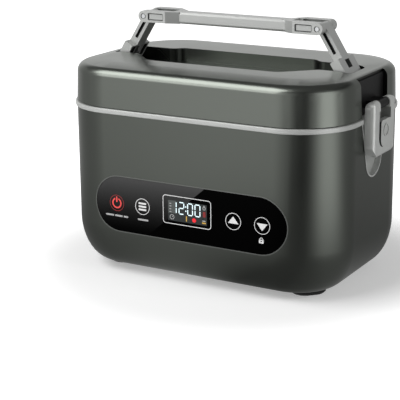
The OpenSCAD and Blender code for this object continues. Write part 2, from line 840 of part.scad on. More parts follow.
module touch_springs() {
    color("#c0a060") for (x = key_x) translate([x, board_y, lens_z]) rotate([90, 0, 0]) difference() {
        cylinder(h = board_gap, r = spring_r);
        translate([0, 0, -eps]) cylinder(h = spring_bore + eps, r = spring_r * 0.76);
    }
}

module board_posts() {
    color("#4b4d4b") for (s = [-1, 1])
        translate([lens_x + s * (board_w / 2 - screw_in), board_y, lens_z + board_h / 2 - screw_in])
            rotate([90, 0, 0]) cylinder(h = board_gap, r = post_r);
}

// ---- Mains ----

module power_inlet() {
    outer = [socket_w + 2 * inlet_wall, socket_h + 2 * inlet_wall];
    flange = [outer[0] + 2 * inlet_lip_w, outer[1] + 2 * inlet_lip_w];
    color("#1b1c1d") translate([inlet_x, side_y + inlet_lip, inlet_z]) rotate([90, 0, 0]) difference() {
        union() {
            linear_extrude(inlet_lip - fit) polygon(stadium(flange[0], flange[1]));
            linear_extrude(socket_l + inlet_end) polygon(stadium(outer[0], outer[1]));
        }
        translate([0, 0, -eps]) linear_extrude(socket_l + eps) polygon(stadium(socket_w, socket_h));
        for (s = [-1, 1]) translate([s * pin_gap / 2, 0, socket_l - eps])
            cylinder(h = inlet_end + 2 * eps, r = inlet_pin_r + fit);
    }
}

module inlet_pins() {
    l = socket_l + inlet_end - pin_in;
    color("#c9cbcc") for (s = [-1, 1])
        rod_y([inlet_x + s * pin_gap / 2, pin_end + l / 2, inlet_z], inlet_pin_r, l);
}

module power_board() {
    color("#2f6b45") translate([power_x - power_w, power_front, power_z]) cube([power_w, power_d, board_t]);
    color("#3a3f48") translate([power_x - power_w * 0.85, power_back - power_d * 0.45, power_top])
        cube([power_w * 0.22, power_d * 0.35, parts_h * 0.9]);
    color("#5a7fae") translate([power_x - power_w * 0.55, power_back - power_d * 0.4, power_top])
        cube([power_w * 0.2, power_d * 0.28, parts_h]);
    color("#222222") for (i = [0:2])
        translate([power_x - power_w * (0.27 - i * 0.085), power_back - power_d * 0.3, power_top])
            cylinder(h = parts_h * 0.9, r = power_w / 30);
}

module board_screws() {
    color("#9a9c9e") for (x = [power_x - power_w + screw_in, power_x - screw_in],
        y = [power_front + screw_in, power_back - screw_in]) {
            translate([x, y, foot_h + cover_t]) cylinder(h = power_z - foot_h - cover_t, r = stand_r);
            translate([x, y, power_top]) cylinder(h = screw_head_h, r = stand_r);
        }
}

// Wire down from its top, round a bend and forwards
module lead_down(x, y, z_top, z_low, run) {
    translate([x, y, z_low + lead_bend]) cylinder(h = z_top - z_low - lead_bend, r = lead_r);
    translate([x, y - lead_bend, z_low + lead_bend]) rotate([90, 90, 90])
        rotate_extrude(angle = 90) translate([lead_bend, 0]) circle(lead_r);
    translate([x, y - lead_bend, z_low]) rotate([90, 0, 0]) cylinder(h = run, r = lead_r);
}

module supply_leads() {
    y = pin_end - lead_r - fit;
    color("#5b3a29") for (s = [-1, 1]) lead_down(inlet_x + s * pin_gap / 2, y, inlet_z + lead_r,
        power_top + lead_r + fit, y - lead_bend - power_back + 3 * lead_r);
}

module heater_leads() {
    z = power_top + lead_r + fit;
    color("#b04038") for (s = [0, 1]) translate([-tab_x, s * tab_gap, z]) {
        cylinder(h = tab_z - z, r = lead_r);
        rotate([0, 90, 0]) cylinder(h = tab_w, r = lead_r);
        sphere(r = lead_r);
    }
}

// Flat ribbon from the control board down to the power board
module panel_ribbon() {
    y = board_y + board_t;
    slope = under_pan * 0.4;
    z = power_top + power_up * 1.2;
    t = ribbon_t;
    end = power_front + screw_in;
    color("#8a8d90") translate([ribbon_x, 0, 0]) rotate([90, 0, 90]) linear_extrude(ribbon_w) polygon([
        [y, lens_z - chip_w], [y, pan_z + pan_t], [y + slope, z], [power_front, power_top],
        [end, power_top], [end, power_top + t], [power_front, power_top + t],
        [y + slope + t, z + t], [y + t, pan_z + pan_t], [y + t, lens_z - chip_w]]);
}

// ---- Food container ----

module food_container() {
    inset = pan_inset + pan_t + container_gap;
    color("#d2d4d6") sheet_tub(inset, pan_edge_r - container_gap, container_z, container_top, container_t)
        inset_plate(inset - container_rim, container_top - container_rim_h, container_top);
}

// ---- Lid ----

lid_sides = concat([[0, lid_z]], high_fillet(lid_edge_w, lid_edge_h, lid_edge_in, lid_edge_z),
    [[border_w, deck_z]]);

// Handle well's plan outline, grown by g
module well_outline(g) {
    turn = g * tan(22.5);
    w = well_half + g;
    e = well_end_half + g;
    mid = well_mid + turn;
    neck = well_neck + turn;
    end = well_end + g;
    polygon(rounded([[mid, -w], [neck, -e], [end, -e], [end, e], [neck, e], [mid, w],
        [-mid, w], [-neck, e], [-end, e], [-end, -e], [-neck, -e], [-mid, -w]],
        [for (i = [0:11]) i % 6 == 2 || i % 6 == 3 ? well_r + g : well_bend_r]));
}

// Finger slope in front of the well, grown by g: a plan outline cut to a sloping profile
module scoop(g) {
    turn = g * tan(22.5);
    w = scoop_front + g;
    e = well_end_half + g;
    side = [scoop_half + turn, scoop_end + turn];
    intersection() {
        translate([0, 0, well_z - well_wall]) linear_extrude(far) polygon(rounded(
            [[-side[0], -w], [side[0], -w], [side[1], -e], [side[1], 0], [-side[1], 0], [-side[1], -e]],
            [scoop_r, scoop_r, 0, 0, 0, 0]));
        translate([-side[1], 0, 0]) rotate([90, 0, 90]) linear_extrude(2 * side[1]) polygon([
            [-w, deck_z + far], [-w, deck_z], [-well_half, well_z - g], [0, well_z - g], [0, deck_z + far]]);
    }
}

// Side recess, wider at its open top than at the seam
module recess_prism(g, x0, x1) {
    low = pocket_half + g;
    high = recess_half + g;
    turn_z = deck_z - recess_down;
    translate([x0, 0, 0]) rotate([90, 0, 90]) linear_extrude(x1 - x0) polygon([[-low, lid_z - eps],
        [low, lid_z - eps], [high, turn_z], [high, deck_z + far], [-high, deck_z + far], [-high, turn_z]]);
}

module liner_spots() {
    four_ways(side_x - spot_in - liner_inset, side_y - spot_in) children();
    for (s = [-1, 1]) translate([0, s * (side_y - spot_in + link_r), 0]) children();
}

// Hollow under the lid's roof, less the walls of the well and the side recesses
module lid_hollow() {
    inner = lid_wall + lid_edge_in;
    difference() {
        tub_form([[lid_wall, lid_z - eps], [inner, lid_edge_z - well_wall / 2], [inner + lid_roof, roof_z]],
            body_w, body_d, corner_r);
        translate([0, 0, well_z - well_wall]) linear_extrude(far) well_outline(well_wall);
        scoop(well_wall);
        both_ends() recess_prism(recess_wall, recess_x - recess_wall, body_w);
        // Bosses beside the foot pins and for the inner plate's screws
        both_ends() for (y = [well_end_half, -well_end_half - pin_seat - pin_r])
            translate([foot_x - pin_seat, y, foot_z - pin_seat]) cube([2 * pin_seat, pin_seat + pin_r, far]);
        liner_spots() translate([0, 0, liner_z + liner_t]) cylinder(h = far, r = liner_boss_r);
    }
}

// Slanted rib on the far wall of the well's end
module end_rib() {
    translate([0, well_end_half + eps, 0]) rotate([90, 0, 0]) linear_extrude(rib_t + eps) polygon([
        [rib_in, well_z - eps], [rib_in + rib_w * 1.6, well_z - eps],
        [rib_out + rib_w, deck_z - rib_down], [rib_out - rib_w / 2, deck_z - rib_down]]);
}

module lid_shell() {
    color("#585a58") difference() {
        tub_form(lid_sides, body_w, body_d, corner_r);
        lid_hollow();
        both_ends() recess_prism(0, recess_x, body_w);
        difference() {
            translate([0, 0, well_z]) linear_extrude(far) well_outline(0);
            both_ends() end_rib();
        }
        scoop(0);
        both_ends() rod_y([foot_x, 0, foot_z], pin_r + fit / 2, 2 * (well_end_half + pin_seat));
        liner_spots() translate([0, 0, lid_z]) cylinder(h = lid_h / 2, r = screw_r + fit / 2);
    }
}

// Barrel that a latch hangs on, with its arm and the plate that holds it to the lid
module latch_bracket() {
    plate_half = pocket_half - clear;
    plate_h = lid_edge_z + lid_edge_h / 2 - lid_z;
    color("#26282a") difference() {
        union() {
            rod_y([latch_x, 0, latch_z], barrel_r, 2 * barrel_half);
            translate([recess_x, -barrel_half, latch_z - barrel_r + eps])
                cube([latch_x - recess_x, 2 * barrel_half, 2 * (barrel_r - eps)]);
            translate([recess_x, -plate_half, lid_z + seam])
                cube([bracket_t, 2 * plate_half, plate_h]);
        }
        rod_y([latch_x, 0, latch_z], latch_pin_r + fit, 2 * barrel_half + 1);
    }
}

module lid_liner() {
    color("#c9cac8") difference() {
        inset_plate(liner_inset, liner_z, liner_z + liner_t);
        liner_spots() translate([0, 0, liner_z - eps]) cylinder(h = liner_t + 2 * eps, r = screw_r + clear);
    }
}

module lid_gasket() {
    inset = pan_inset - flange_w + eps;
    color("#e4e4e0") difference() {
        inset_plate(inset, flange_z + pan_t + clear, liner_z);
        inset_plate(inset + gasket_w, flange_z - eps, liner_z + eps);
    }
}

module lid_screws() {
    color("#9a9c9e") liner_spots() screw_up(liner_z - screw_head_h, screw_head_h + lid_h / 3);
}

module link_pin() {
    color("#c9cbcc") rod_y([foot_x, 0, foot_z], pin_r, 2 * (well_end_half + pin_seat - eps));
}

module latch_pin() {
    color("#c9cbcc") rod_y([latch_x, 0, latch_z], latch_pin_r, 2 * latch_pin_l);
}

// ---- Latches ----

module latch_frame() {
    edge = latch_edge;
    gap_half = barrel_half + clear;
    low = latch_low;
    back = latch_x - latch_back;
    top = latch_z + knuckle_r;
    knuckle_z = latch_z - knuckle_r;
    color("#b9bbb9") difference() {
        intersection() {
            // Face outline
            translate([back - eps, 0, 0]) rotate([90, 0, 90]) linear_extrude(far)
                polygon(round_rect(-latch_half, low, latch_half, top, latch_corner, latch_top_r));
            // Rounded front edges, seen from above
            translate([0, 0, low - eps]) linear_extrude(far + latch_l) polygon(concat(
                [[back - eps, -latch_half]], arc([latch_face - edge, edge - latch_half], edge, -90, 0, 6),
                arc([latch_face - edge, latch_half - edge], edge, 0, 90, 6), [[back - eps, latch_half]]));
            // Side view: knuckle at the top, rounded lower lip
            translate([0, latch_half, 0]) rotate([90, 0, 0]) linear_extrude(2 * latch_half) polygon(concat(
                [[back, low]], arc([latch_face - edge, low + edge], edge, -90, 0, 6),
                arc([latch_x, latch_z], knuckle_r, 3, 180, 16)));
        }
        // Opening for the tongue, closed in to the barrel's width at the knuckles
        translate([latch_x - far / 2, 0, 0]) rotate([90, 0, 90]) linear_extrude(far) polygon(concat(
            arc([window_half - window_r, window_z + window_r], window_r, -90, 0),
            [[window_half, knuckle_z], [gap_half, knuckle_z], [gap_half, latch_z + far],
            [-gap_half, latch_z + far], [-gap_half, knuckle_z], [-window_half, knuckle_z]],
            arc([window_r - window_half, window_z + window_r], window_r, 180, 270)));
        rod_y([latch_x, 0, latch_z], latch_pin_r + fit, 2 * latch_pin_l + fit);
    }
}

module latch_tongue() {
    back = tongue_face - tongue_t;
    color("#b9bbb9") difference() {
        union() {
            translate([back, 0, 0]) rotate([90, 0, 90]) linear_extrude(tongue_t) polygon(
                round_rect(-tongue_half, window_z, tongue_half, window_z + tongue_l, tongue_r, tongue_top_r));
            rod_x([tongue_face, 0, ring_z], ring_r, 2 * ring_out);
            // Hook on its back, just short of the catch
            translate([0, hook_half, 0]) rotate([90, 0, 0]) linear_extrude(2 * hook_half) polygon([
                [back + eps, hook_z], [back + eps, hook_z - 2 * hook_h], [hook_x, hook_z - hook_h],
                [hook_x, hook_z]]);
        }
        rod_x([tongue_face + ring_out, 0, ring_z], ring_r - ring_w, 2 * ring_out);
    }
}

// ---- Handle ----

// Grip's form, handle raised; half of it, on +X
module grip_form() {
    top = pivot_z + cheek_r;
    low = pivot_z - cheek_r;
    bar_top = top - bar_drop;
    bar_low = low - bar_drop;
    inner = bar_d - bar_edge;
    intersection() {
        // Seen from above: slim bar, shoulder and cheek
        translate([0, 0, low - far / 2]) linear_extrude(far) polygon([[0, -bar_d], [bar_half, -bar_d],
            [cheek_in, -cheek_half], [pivot_x + far, -cheek_half], [pivot_x + far, cheek_half],
            [cheek_in, cheek_half], [bar_half, bar_d], [0, bar_d]]);
        // Seen from the front: the bar lies a little lower than the cheeks
        translate([0, cheek_half, 0]) rotate([90, 0, 0]) linear_extrude(2 * cheek_half) polygon(concat(
            [[0, bar_top], [0, bar_low], [bar_half, bar_low], [cheek_in, low]],
            arc([pivot_x, pivot_z], cheek_r, -90, 90), [[cheek_in, top], [bar_half, bar_top]]));
        union() {
            // Bar with rounded lower edges and a creased top
            translate([-eps, 0, 0]) rotate([90, 0, 90]) linear_extrude(bar_half + eps + fit) polygon(concat(
                arc([inner, bar_low + bar_edge], bar_edge, -90, 0, 8),
                [[bar_d, bar_top - bar_chamfer], [bar_d - bar_chamfer, bar_top],
                [bar_chamfer - bar_d, bar_top], [-bar_d, bar_top - bar_chamfer]],
                arc([-inner, bar_low + bar_edge], bar_edge, 180, 270, 8)));
            translate([bar_half, -cheek_half, bar_low]) cube([2 * far, 2 * cheek_half, 2 * cheek_r + bar_drop]);
        }
    }
}

// What is cut out of a cheek on the side s: the pin's blind slot, the groove and the screw's seat
module cheek_cuts(s) {
    slot_r = slot_gap - fit / 5;
    groove_end = pivot_x - cheek_r + clear;
    translate([0, s * slot_half + (s > 0 ? slot_l : 0), 0]) rotate([90, 0, 0]) linear_extrude(slot_l)
        polygon(round_rect(fold_x - slot_gap, pivot_z - slot_gap, pivot_x + slot_gap,
            pivot_z + fold_arch + slot_gap, slot_r, slot_r));
    translate([0, s * cheek_half + (s > 0 ? eps : groove_t), 0]) rotate([90, 0, 0])
        linear_extrude(groove_t + eps) polygon(round_rect(cheek_in + 2 * groove_t,
            pivot_z - groove_half, groove_end, pivot_z + groove_half, groove_t, groove_t));
    rod_y([pivot_x, s * cheek_half, pivot_z], grip_head_r + screw_core, 2 * groove_t);
    rod_y([pivot_x, s * (cheek_half - screw_l / 2), pivot_z], screw_core + fit, screw_l);
}

module grip_bar() {
    color("#c2c3c1") both_ends() difference() {
        grip_form();
        // Channel that the link folds into
        translate([channel_in, -slot_half, pivot_z - far / 2]) cube([far, 2 * slot_half, far]);
        for (s = [-1, 1]) cheek_cuts(s);
    }
}

module grip_screws() {
    color("#d5d7d8") both_ends() for (s = [-1, 1])
        translate([pivot_x, s * cheek_half, pivot_z]) rotate([90 * s, 0, 0]) {
            translate([0, 0, fit]) cylinder(h = groove_t - fit, r = grip_head_r);
            translate([0, 0, fit]) cylinder(h = screw_l - 2 * fit, r = screw_core);
        }
}

// Link in its own frame: lower pivot at the origin, upper pivot at +Z, outer face towards +X
module link() {
    half = link_d / 2;
    rim = block_d / 13;
    slot_top = link_l - cheek_r;
    window_z = block_l - foot_window_h - rim;
    difference() {
        union() {
            rotate([90, 0, 0]) linear_extrude(link_d, center = true)
                polygon(concat(arc([0, link_l], link_r, 0, 180), arc([0, 0], link_r, 180, 360)));
            rotate([90, 0, 0]) linear_extrude(block_d, center = true)
                polygon(concat([[link_r, block_l], [-link_r, block_l]], arc([0, 0], link_r, 180, 360)));
            // Collars that hold the block between the walls of the well
            rod_y([0, 0, 0], link_r - 4 * clear, 2 * (well_end_half - 2 * clear));
        }
        rod_y([0, 0, 0], pin_r + fit, 2 * far);
        rod_y([0, 0, link_l], slider_r + fit, far);
        for (s = [-1, 1]) translate([0, s * half + (s > 0 ? eps : link_slot_t), 0]) rotate([90, 0, 0])
            linear_extrude(link_slot_t + eps) polygon(round_rect(-link_slot_half, slot_top - link_slot_l,
                link_slot_half, slot_top, link_slot_half / 2, link_slot_half / 2));
        // Window in the block's outer face and the hollow in its inner face, with two ribs
        translate([-link_r - eps, -foot_window_half, window_z])
            cube([far, 2 * foot_window_half, foot_window_h]);
        difference() {
            translate([-link_r - eps, rim - block_d / 2, rim + eps])
                cube([link_r + eps, block_d - 2 * rim, block_l - 2 * rim]);
            for (s = [-1, 1]) translate([-link_r - eps, s * (foot_window_half + rim) - eps, 0])
                cube([far, 2 * eps, block_l]);
        }
    }
}

module link_right() {
    color("#b9bbb9") translate([foot_x, 0, foot_z]) rotate([0, -link_lean, 0]) link();
}

module slider_pin() {
    color("#c9cbcc") rod_y([pivot_x, 0, pivot_z], slider_r, 2 * (slot_half + slot_l - clear));
}

outer_shell();
rim_band();
base_cover();
cover_screws();
foot(-1, -1);  // foot_front_left
foot(1, -1);  // foot_front_right
foot(-1, 1);  // foot_rear_left
foot(1, 1);  // foot_rear_right
heating_pan();
pan_insulation();
heating_plate();
heater_clamps();
thermal_cutoff();
temperature_sensor();
panel_lens();
panel_bezel();
display_module();
control_board();
touch_springs();
board_posts();
power_board();
board_screws();
power_inlet();
inlet_pins();
supply_leads();
heater_leads();
panel_ribbon();
food_container();
lid_shell();
lid_liner();
lid_gasket();
lid_screws();
mirror([1, 0, 0]) latch_bracket();  // latch_bracket_left
latch_bracket();  // latch_bracket_right
mirror([1, 0, 0]) link_pin();  // link_pin_left
link_pin();  // link_pin_right
mirror([1, 0, 0]) latch_pin();  // latch_pin_left
latch_pin();  // latch_pin_right
mirror([1, 0, 0]) latch_frame();  // latch_frame_left
latch_frame();  // latch_frame_right
mirror([1, 0, 0]) latch_tongue();  // latch_tongue_left
latch_tongue();  // latch_tongue_right
grip_bar();
grip_screws();
mirror([1, 0, 0]) link_right();  // link_left
link_right();
mirror([1, 0, 0]) slider_pin();  // slider_pin_left
slider_pin();  // slider_pin_right
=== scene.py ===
"""Looks of the electric lunch box: finishes, printed panel, softened edges and the studio round it."""

import json
import logging
import math
from dataclasses import dataclass, field
from enum import Enum
from typing import ClassVar

import bmesh
import bpy
import numpy as np
from mathutils import Matrix, Vector
from mathutils.bvhtree import BVHTree

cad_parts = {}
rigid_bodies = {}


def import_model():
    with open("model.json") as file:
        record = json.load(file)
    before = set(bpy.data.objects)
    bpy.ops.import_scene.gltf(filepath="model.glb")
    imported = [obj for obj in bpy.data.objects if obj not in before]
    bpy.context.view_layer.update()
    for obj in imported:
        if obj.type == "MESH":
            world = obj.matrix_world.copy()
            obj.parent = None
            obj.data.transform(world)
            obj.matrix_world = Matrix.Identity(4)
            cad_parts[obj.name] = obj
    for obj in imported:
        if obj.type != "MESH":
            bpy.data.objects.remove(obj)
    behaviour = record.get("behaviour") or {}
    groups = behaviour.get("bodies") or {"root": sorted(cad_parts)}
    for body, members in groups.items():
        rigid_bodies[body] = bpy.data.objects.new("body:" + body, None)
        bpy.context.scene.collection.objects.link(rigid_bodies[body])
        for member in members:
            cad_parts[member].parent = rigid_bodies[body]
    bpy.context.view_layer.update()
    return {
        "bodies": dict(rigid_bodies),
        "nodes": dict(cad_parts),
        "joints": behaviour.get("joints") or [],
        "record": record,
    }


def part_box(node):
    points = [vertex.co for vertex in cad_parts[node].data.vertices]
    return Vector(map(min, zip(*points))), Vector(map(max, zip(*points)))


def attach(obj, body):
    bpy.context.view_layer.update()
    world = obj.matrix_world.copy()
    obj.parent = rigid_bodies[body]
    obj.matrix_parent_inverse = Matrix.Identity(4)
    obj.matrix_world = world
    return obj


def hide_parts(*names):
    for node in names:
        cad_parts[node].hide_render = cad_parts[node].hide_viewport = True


LOG = logging.getLogger("lunch_box")
MM = 0.001
Colour = tuple[float, float, float]
Point = tuple[float, float]
Socket = bpy.types.NodeSocket
BMesh = bmesh.types.BMesh


def grey(level: float, green: float = 0.0) -> Colour:
    """A near-neutral linear colour, tipped a little to green."""
    return (level * (1 - green * 0.4), level * (1 + green), level * (1 - green))


def show(name: str, data: bpy.types.ID) -> bpy.types.Object:
    """Put data into the scene as a new object."""
    thing = bpy.data.objects.new(name, data)
    bpy.context.scene.collection.objects.link(thing)
    return thing


def settle(mesh: BMesh, name: str) -> bpy.types.Mesh:
    """Turn a bmesh into mesh data and free it."""
    data = bpy.data.meshes.new(name)
    mesh.to_mesh(data)
    mesh.free()
    return data


def line_up(mesh: BMesh) -> None:
    """Sort vertices and faces by place, since operators may add them in any order."""
    spots = {v: tuple(v.co) for v in mesh.verts}
    spots.update((f, tuple(sorted(spots[v] for v in f.verts))) for f in mesh.faces)
    for parts in (mesh.verts, mesh.faces):
        rank = {part: i for i, part in enumerate(sorted(parts, key=spots.__getitem__))}
        parts.sort(key=rank.__getitem__)


def preset(node: bpy.types.Node, values: dict[str, object]) -> None:
    """Set named inputs of a node."""
    for key, value in values.items():
        node.inputs[key].default_value = value


# ---------------------------------------------------------------- recesses


class Closeness:
    """Works out how closed in each face of a body's pieces is, so that slots and gaps get painted shade.

    Only pieces of the same body count, so the result holds wherever the body moves.
    """

    NAME = "closeness"
    RAYS = 28
    LIFT = 0.06 * MM
    NO_AREA = 1e-18

    def __init__(self, objects: list[bpy.types.Object]) -> None:
        """Gather the surfaces that can close a recess.

        Args:
            objects: the constructed nodes of one body.
        """
        points: list[Vector] = []
        faces: list[list[int]] = []
        for piece in objects:
            start = len(points)
            points.extend(v.co.copy() for v in piece.data.vertices)
            faces.extend([start + k for k in p.vertices] for p in piece.data.polygons)
        self.tree = BVHTree.FromPolygons(points, faces)
        turn = math.pi * (3 - math.sqrt(5))
        self.fan: list[Vector] = []
        for k in range(self.RAYS):
            share = (k + 0.5) / self.RAYS
            out, angle = math.sqrt(share), k * turn
            self.fan.append(Vector((out * math.cos(angle), out * math.sin(angle), math.sqrt(1 - share))))

    def _closed(self, point: Vector, normal: Vector, reach: float) -> float:
        """Share of the rays that leave a point and meet a surface within reach."""
        turn = normal.to_track_quat("Z", "Y")
        start = point + normal * self.LIFT
        hits = sum(1 for ray in self.fan if self.tree.ray_cast(start, turn @ ray, reach)[0] is not None)
        return hits / self.RAYS

    def mark(self, data: bpy.types.Mesh, reach: float) -> None:
        """Store the closeness of each face on the mesh.

        Args:
            data: the mesh.
            reach: how far a surface may be and still close a recess, in metres.
        """
        total = np.zeros(len(data.polygons))
        area = np.zeros(len(data.polygons))
        data.calc_loop_triangles()
        for part in data.loop_triangles:
            corners = [data.vertices[k].co for k in part.vertices]
            facing = data.polygons[part.polygon_index].normal
            closed = self._closed(sum(corners, Vector()) / 3, facing, reach)
            total[part.polygon_index] += closed * part.area
            area[part.polygon_index] += part.area
        store = data.attributes.new(self.NAME, "FLOAT", "FACE")
        store.data.foreach_set("value", (total / np.maximum(area, self.NO_AREA)).astype(np.float32))


# ---------------------------------------------------------------- shader groups


class GroupBuilder:
    """Makes one shader node group with named inputs and outputs."""

    def __init__(self, name: str, inputs: dict[str, float], outputs: tuple[str, ...]) -> None:
        """Open the group and make its sockets.

        Args:
            name: the group's name.
            inputs: input names with their default values.
            outputs: output names.
        """
        self.tree = bpy.data.node_groups.new(name, "ShaderNodeTree")
        for key, value in inputs.items():
            socket = self.tree.interface.new_socket(key, in_out="INPUT", socket_type="NodeSocketFloat")
            socket.default_value = value
        for key in outputs:
            self.tree.interface.new_socket(key, in_out="OUTPUT", socket_type="NodeSocketFloat")
        self.source = self.tree.nodes.new("NodeGroupInput")
        self.sink = self.tree.nodes.new("NodeGroupOutput")

    def node(self, kind: str, **values: object) -> bpy.types.Node:
        """Add a node and set the given properties on it."""
        made = self.tree.nodes.new(kind)
        for key, value in values.items():
            setattr(made, key, value)
        return made

    def link(self, start: Socket, end: Socket) -> None:
        """Join two sockets."""
        self.tree.links.new(start, end)

    def noise(self, scale: Socket | float, detail: float = 3.0) -> Socket:
        """Noise on the piece's own coordinates.

        Args:
            scale: a socket or a number of cells in a metre.
            detail: octaves of noise.

        Returns:
            The noise's value socket.
        """
        place = self.node("ShaderNodeTexCoord")
        noise = self.node("ShaderNodeTexNoise")
        noise.inputs["Detail"].default_value = detail
        self.link(place.outputs["Object"], noise.inputs["Vector"])
        if isinstance(scale, float):
            noise.inputs["Scale"].default_value = scale
        else:
            self.link(scale, noise.inputs["Scale"])
        return noise.outputs["Fac"]

    def feed(self, socket: Socket, term: Socket | float) -> None:
        """Set an input to a number, or link a socket to it."""
        if isinstance(term, (int, float)):
            socket.default_value = term
        else:
            self.link(term, socket)

    def maths(self, operation: str, *terms: Socket | float) -> Socket:
        """Work out one step.

        Args:
            operation: the Math node's operation.
            terms: its inputs in order, as sockets or numbers.

        Returns:
            The socket with the result.
        """
        step = self.node("ShaderNodeMath", operation=operation)
        for socket, term in zip(step.inputs, terms):
            self.feed(socket, term)
        return step.outputs["Value"]

    def spread(self, value: Socket, low: Socket | float,
               high: Socket | float) -> Socket:
        """Map a 0 to 1 value to the range between two sockets or numbers."""
        ramp = self.node("ShaderNodeMapRange")
        self.link(value, ramp.inputs["Value"])
        self.feed(ramp.inputs["To Min"], low)
        self.feed(ramp.inputs["To Max"], high)
        return ramp.outputs["Result"]

    def gloss(self, value: Socket) -> None:
        """Let a 0 to 1 value raise the roughness from Rough by up to Vary."""
        given = self.source.outputs
        high = self.maths("ADD", given["Rough"], given["Vary"])
        self.link(self.spread(value, given["Rough"], high), self.sink.inputs["Roughness"])


class Effects:
    """The node groups that several finishes share."""

    _made: dict[str, bpy.types.NodeTree] = {}
    RECESS_START = 0.18
    RECESS_FULL = 0.65
    EDGE_BLUR = 0.3 * MM

    @classmethod
    def mould_grain_and_shade(cls) -> bpy.types.NodeTree:
        """Fine spark-eroded grain with slow changes of gloss, and painted shade that darkens narrow
        recesses.
        """
        if "mould_grain_and_shade" in cls._made:
            return cls._made["mould_grain_and_shade"]
        made = GroupBuilder("mould_grain_and_shade", {"Scale": 2600.0, "Rough": 0.4, "Vary": 0.06, "Recess": 0.0},
                            ("Height", "Roughness", "Tone"))
        given = made.source.outputs
        made.link(made.noise(given["Scale"], 4.0), made.sink.inputs["Height"])
        made.gloss(made.noise(38.0, 5.0))
        # Painted shade: the tone darkens where the face is closed in, by Recess.
        closed = made.node("ShaderNodeAttribute", attribute_name=Closeness.NAME)
        curve = made.node("ShaderNodeMapRange", interpolation_type="SMOOTHSTEP")
        preset(curve, {"From Min": cls.RECESS_START, "From Max": cls.RECESS_FULL})
        made.link(closed.outputs["Fac"], curve.inputs["Value"])
        dark = made.maths("MULTIPLY", curve.outputs["Result"], given["Recess"])
        left = made.maths("SUBTRACT", 1.0, dark)
        tone = made.maths("MULTIPLY", made.spread(made.noise(11.0, 2.0), 0.97, 1.03), left)
        made.link(tone, made.sink.inputs["Tone"])
        cls._made["mould_grain_and_shade"] = made.tree
        return cls._made["mould_grain_and_shade"]

    @classmethod
    def brushing(cls) -> bpy.types.NodeTree:
        """Long fine lines of brushed sheet steel, running round the piece."""
        if "brushing" in cls._made:
            return cls._made["brushing"]
        made = GroupBuilder("brushing", {"Scale": 900.0, "Rough": 0.25, "Vary": 0.12},
                            ("Height", "Roughness", "Tone"))
        place = made.node("ShaderNodeTexCoord")
        stretch = made.node("ShaderNodeMapping")
        stretch.inputs["Scale"].default_value = (0.02, 0.02, 1.0)
        noise = made.node("ShaderNodeTexNoise")
        noise.inputs["Detail"].default_value = 4.0
        made.link(place.outputs["Object"], stretch.inputs["Vector"])
        made.link(stretch.outputs["Vector"], noise.inputs["Vector"])
        made.link(made.source.outputs["Scale"], noise.inputs["Scale"])
        made.link(noise.outputs["Fac"], made.sink.inputs["Height"])
        made.gloss(noise.outputs["Fac"])
        made.link(made.spread(noise.outputs["Fac"], 0.92, 1.06), made.sink.inputs["Tone"])
        cls._made["brushing"] = made.tree
        return cls._made["brushing"]

    @classmethod
    def panel_painted_reflection(cls) -> bpy.types.NodeTree:
        """Painted reflection on the panel's lens: grey that fades downwards and ends at a slanted line."""
        if "panel_painted_reflection" in cls._made:
            return cls._made["panel_painted_reflection"]
        made = GroupBuilder("panel_painted_reflection", {"Slope": 0.863, "Offset": 0.0684, "Low": 0.037, "High": 0.083,
                                           "Level": 0.083, "Dark": 0.0006}, ("Tone",))
        given = made.source.outputs
        place = made.node("ShaderNodeTexCoord")
        parts = made.node("ShaderNodeSeparateXYZ")
        made.link(place.outputs["Object"], parts.inputs["Vector"])
        line = made.maths("MULTIPLY_ADD", parts.outputs["X"], given["Slope"], given["Offset"])
        mask = made.node("ShaderNodeMapRange")
        preset(mask, {"From Min": -cls.EDGE_BLUR, "From Max": cls.EDGE_BLUR})
        made.link(made.maths("SUBTRACT", parts.outputs["Z"], line), mask.inputs["Value"])
        fade = made.node("ShaderNodeMapRange")
        made.link(parts.outputs["Z"], fade.inputs["Value"])
        made.link(given["Low"], fade.inputs["From Min"])
        made.link(given["High"], fade.inputs["From Max"])
        curve = made.maths("POWER", fade.outputs["Result"], 2.0)
        reflection_patch = made.maths("MULTIPLY", curve, mask.outputs["Result"])
        tone = made.maths("MULTIPLY_ADD", reflection_patch, given["Level"], given["Dark"])
        made.link(tone, made.sink.inputs["Tone"])
        cls._made["panel_painted_reflection"] = made.tree
        return cls._made["panel_painted_reflection"]


# ---------------------------------------------------------------- finishes


